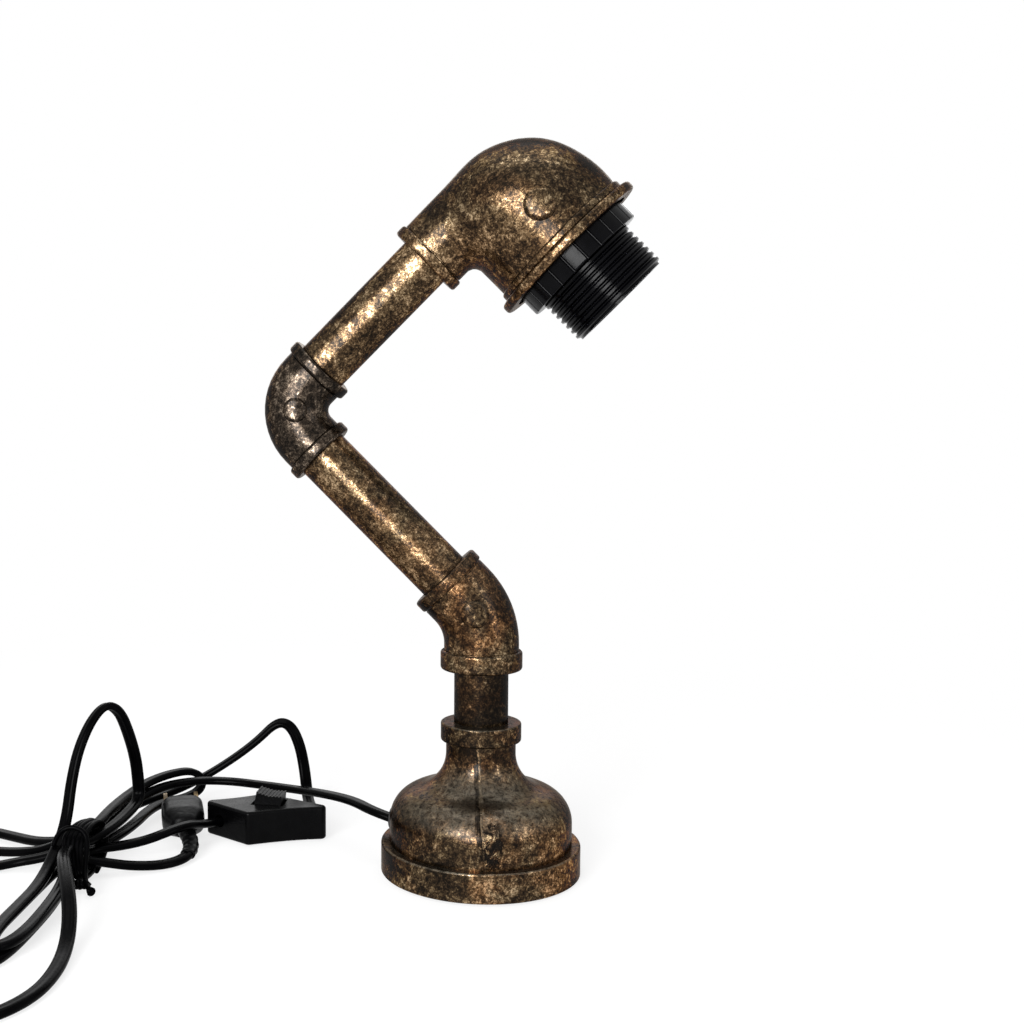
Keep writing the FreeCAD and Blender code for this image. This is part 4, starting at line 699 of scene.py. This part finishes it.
# From the lead's end forward: distance along, width, height, and the outline's power (2 is an ellipse, more
# is squarer).
PLUG_FORM = [(0.0, 7.6, 7.0, 2.2), (0.8, 9.6, 8.8, 2.3), (2.4, 11.0, 9.8, 2.4), (4.6, 12.8, 10.8, 2.6),
             (7.0, 15.2, 12.0, 2.9), (9.4, 16.9, 12.9, 3.2), (10.8, 16.2, 12.4, 3.2),
             (12.2, 17.0, 13.0, 3.3), (13.6, 16.2, 12.4, 3.3), (15.0, 17.0, 13.0, 3.4),
             (16.4, 16.2, 12.4, 3.4), (17.8, 17.0, 13.0, 3.5), (21.5, 17.0, 13.0, 3.6),
             (23.2, 16.6, 12.6, 3.4), (24.0, 15.4, 11.4, 3.0)]
PLUG_STEPS = 40
SLEEVE_LONG = 20.0
SLEEVE_TIP = (5.7, 3.8)   # width, height
SLEEVE_REAR = (6.6, 5.6)
SLEEVE_POWER = 2.4
SLEEVE_STEPS = 20
SLEEVE_RINGS = 6
SLEEVE_RIPPLE = 0.045     # share of the size by which a ring stands out


def rounded(width, height, power, steps):
    """Closed outline between an ellipse (power 2) and a rectangle."""
    ring = []
    for i in range(steps):
        turn = 2 * math.pi * i / steps
        c, s = math.cos(turn), math.sin(turn)
        ring.append((math.copysign(abs(c) ** (2 / power), c) * width / 2,
                     math.copysign(abs(s) ** (2 / power), s) * height / 2))
    return ring


def make_plug():
    """Moulded plug: a narrow rear, three grip grooves and a square front with soft edges."""
    turn = math.radians(PLUG_HEADING)
    forward = Vector((math.cos(turn), math.sin(turn), 0))
    across = forward.cross(UP)
    bm = bmesh.new()
    rows = []
    for along, width, height, power in PLUG_FORM:
        middle = Vector(PLUG_REAR) + forward * along
        rows.append([bm.verts.new((middle + across * x + UP * y) * MM)
                     for x, y in rounded(width, height, power, PLUG_STEPS)])
    skin_rows(bm, rows)
    return add_piece("plug_moulding", bm, "base", "plug_black", ("plug_body",))


def make_sleeve():
    """Tapered, ringed sleeve on the last of the lead, running into the plug."""
    frames = sides(line_to_plug, LEAD_PULL)
    end = len(line_to_plug) - 1
    first, run = end, 0.0
    while run < SLEEVE_LONG * MM:
        run += (line_to_plug[first] - line_to_plug[first - 1]).length
        first -= 1
    bm = bmesh.new()
    rows, gone = [], 0.0
    for i in range(first, end + 1):
        gone += (line_to_plug[i] - line_to_plug[i - 1]).length if i > first else 0.0
        share = gone / run
        ripple = 1.0 + SLEEVE_RIPPLE * math.cos(2 * math.pi * SLEEVE_RINGS * share)
        width, height = (tip + (rear - tip) * share for tip, rear in zip(SLEEVE_TIP, SLEEVE_REAR))
        t, wide = frames[i]
        high = t.cross(wide)
        rows.append([bm.verts.new(line_to_plug[i] + wide * (x * ripple * MM) + high * (y * ripple * MM))
                     for x, y in rounded(width, height, SLEEVE_POWER, SLEEVE_STEPS)])
    skin_rows(bm, rows)
    return add_piece("plug_sleeve", bm, "base", "plug_black")


tie = make_tie()
plug = make_plug()
plug_sleeve = make_sleeve()


# ---- floor, air and light ----------------------------------------------------------------------------
WHITE = (1.0, 1.0, 1.0, 1.0)
AIR_LEVEL = 0.45          # light from all sides
FLOOR_REACH = 6
FLOOR_DROP = 0.0002       # under the lamp's foot
FLOOR_GREY = (0.88, 0.88, 0.88, 1.0)
# Around the lamp the white shows over the floor's shading by this share, and wholly further out.
SHADOW_MIDDLE = (-0.09, -0.03, 0.0)
SHADOW_NEAR = 0.20
SHADOW_FAR = 0.50
NEAR_WHITE = 0.74


def seen_or_mirrored(tree):
    """1 for rays from the camera and for mirrored or refracted ones."""
    path = tree.nodes.new("ShaderNodeLightPath")
    total = path.outputs["Is Camera Ray"]
    for name in ("Is Glossy Ray", "Is Transmission Ray"):
        larger = tree.nodes.new("ShaderNodeMath")
        larger.operation = "MAXIMUM"
        tree.links.new(total, larger.inputs[0])
        tree.links.new(path.outputs[name], larger.inputs[1])
        total = larger.outputs["Value"]
    return total


def glow(tree, kind, level):
    """A background or an emission that gives white light."""
    node = tree.nodes.new(kind)
    node.inputs["Color"].default_value = WHITE
    node.inputs["Strength"].default_value = level
    return node.outputs[0]


def blend(tree, share, a, b, output):
    """Mixes two shaders by a share of the second, into a new output node."""
    both = tree.nodes.new("ShaderNodeMixShader")
    out = tree.nodes.new(output)
    tree.links.new(share, both.inputs["Fac"])
    tree.links.new(a, both.inputs[1])
    tree.links.new(b, both.inputs[2])
    tree.links.new(both.outputs[0], out.inputs["Surface"])


def make_air():
    """Even light from all sides that looks white, both directly and in reflections."""
    world = bpy.data.worlds.new("air")
    bpy.context.scene.world = world
    world.use_nodes = True
    tree = world.node_tree
    tree.nodes.clear()
    lit = glow(tree, "ShaderNodeBackground", AIR_LEVEL)
    white = glow(tree, "ShaderNodeBackground", 1.0)
    blend(tree, seen_or_mirrored(tree), lit, white, "ShaderNodeOutputWorld")


def make_floor():
    """Pale floor that keeps a soft shadow."""
    mesh = bpy.data.meshes.new("floor")
    r = FLOOR_REACH
    mesh.from_pydata([(-r, -r, 0), (r, -r, 0), (r, r, 0), (-r, r, 0)], [], [(0, 1, 2, 3)])
    floor = bpy.data.objects.new("floor", mesh)
    floor.location.z = -FLOOR_DROP
    bpy.context.scene.collection.objects.link(floor)
    material = bpy.data.materials.new("floor")
    material.use_nodes = True
    tree = material.node_tree
    tree.nodes.clear()
    plain = tree.nodes.new("ShaderNodeBsdfDiffuse")
    plain.inputs["Color"].default_value = FLOOR_GREY
    white = glow(tree, "ShaderNodeEmission", 1.0)
    place = tree.nodes.new("ShaderNodeTexCoord")
    away = tree.nodes.new("ShaderNodeVectorMath")
    away.operation = "DISTANCE"
    away.inputs[1].default_value = SHADOW_MIDDLE
    faint = tree.nodes.new("ShaderNodeMapRange")
    ends = {"From Min": SHADOW_NEAR, "From Max": SHADOW_FAR, "To Min": NEAR_WHITE, "To Max": 1.0}
    for socket, number in ends.items():
        faint.inputs[socket].default_value = number
    share = tree.nodes.new("ShaderNodeMath")
    share.operation = "MULTIPLY"
    tree.links.new(place.outputs["Object"], away.inputs[0])
    tree.links.new(away.outputs["Value"], faint.inputs["Value"])
    tree.links.new(faint.outputs["Result"], share.inputs[1])
    tree.links.new(seen_or_mirrored(tree), share.inputs[0])
    blend(tree, share.outputs[0], plain.outputs[0], white, "ShaderNodeOutputMaterial")
    mesh.materials.append(material)


def softbox(name, place, target, size, watts, along=(1.0, 0.0, 0.0)):
    """A rectangular lamp that faces its target, its first side as near as can be to `along`."""
    data = bpy.data.lights.new(name, "AREA")
    data.shape = "RECTANGLE"
    data.size, data.size_y = size
    data.energy = watts
    lamp = bpy.data.objects.new(name, data)
    bpy.context.scene.collection.objects.link(lamp)
    lamp.location = place
    back = (Vector(place) - Vector(target)).normalized()
    up = back.cross(Vector(along)).normalized()
    lamp.rotation_mode = "QUATERNION"
    lamp.rotation_quaternion = Matrix((up.cross(back), up, back)).transposed().to_quaternion()


make_air()
make_floor()
softbox("key", (-0.311, -1.03, 0.373), (0.0, 0.0, 0.14), (0.84, 0.45), 25.0, along=(-1.0, 0.0, 1.0))
softbox("fill", (0.75, -0.50, 0.35), (0.0, 0.0, 0.12), (0.30, 0.60), 2.0)
softbox("top", (-0.05, 0.15, 1.10), (0.0, 0.0, 0.1), (0.8, 0.8), 4.0)
softbox("back", (-0.15, 1.05, 0.52), (-0.05, 0.0, 0.05), (1.20, 0.40), 3.0)

bpy.context.scene.view_settings.view_transform = "Standard"
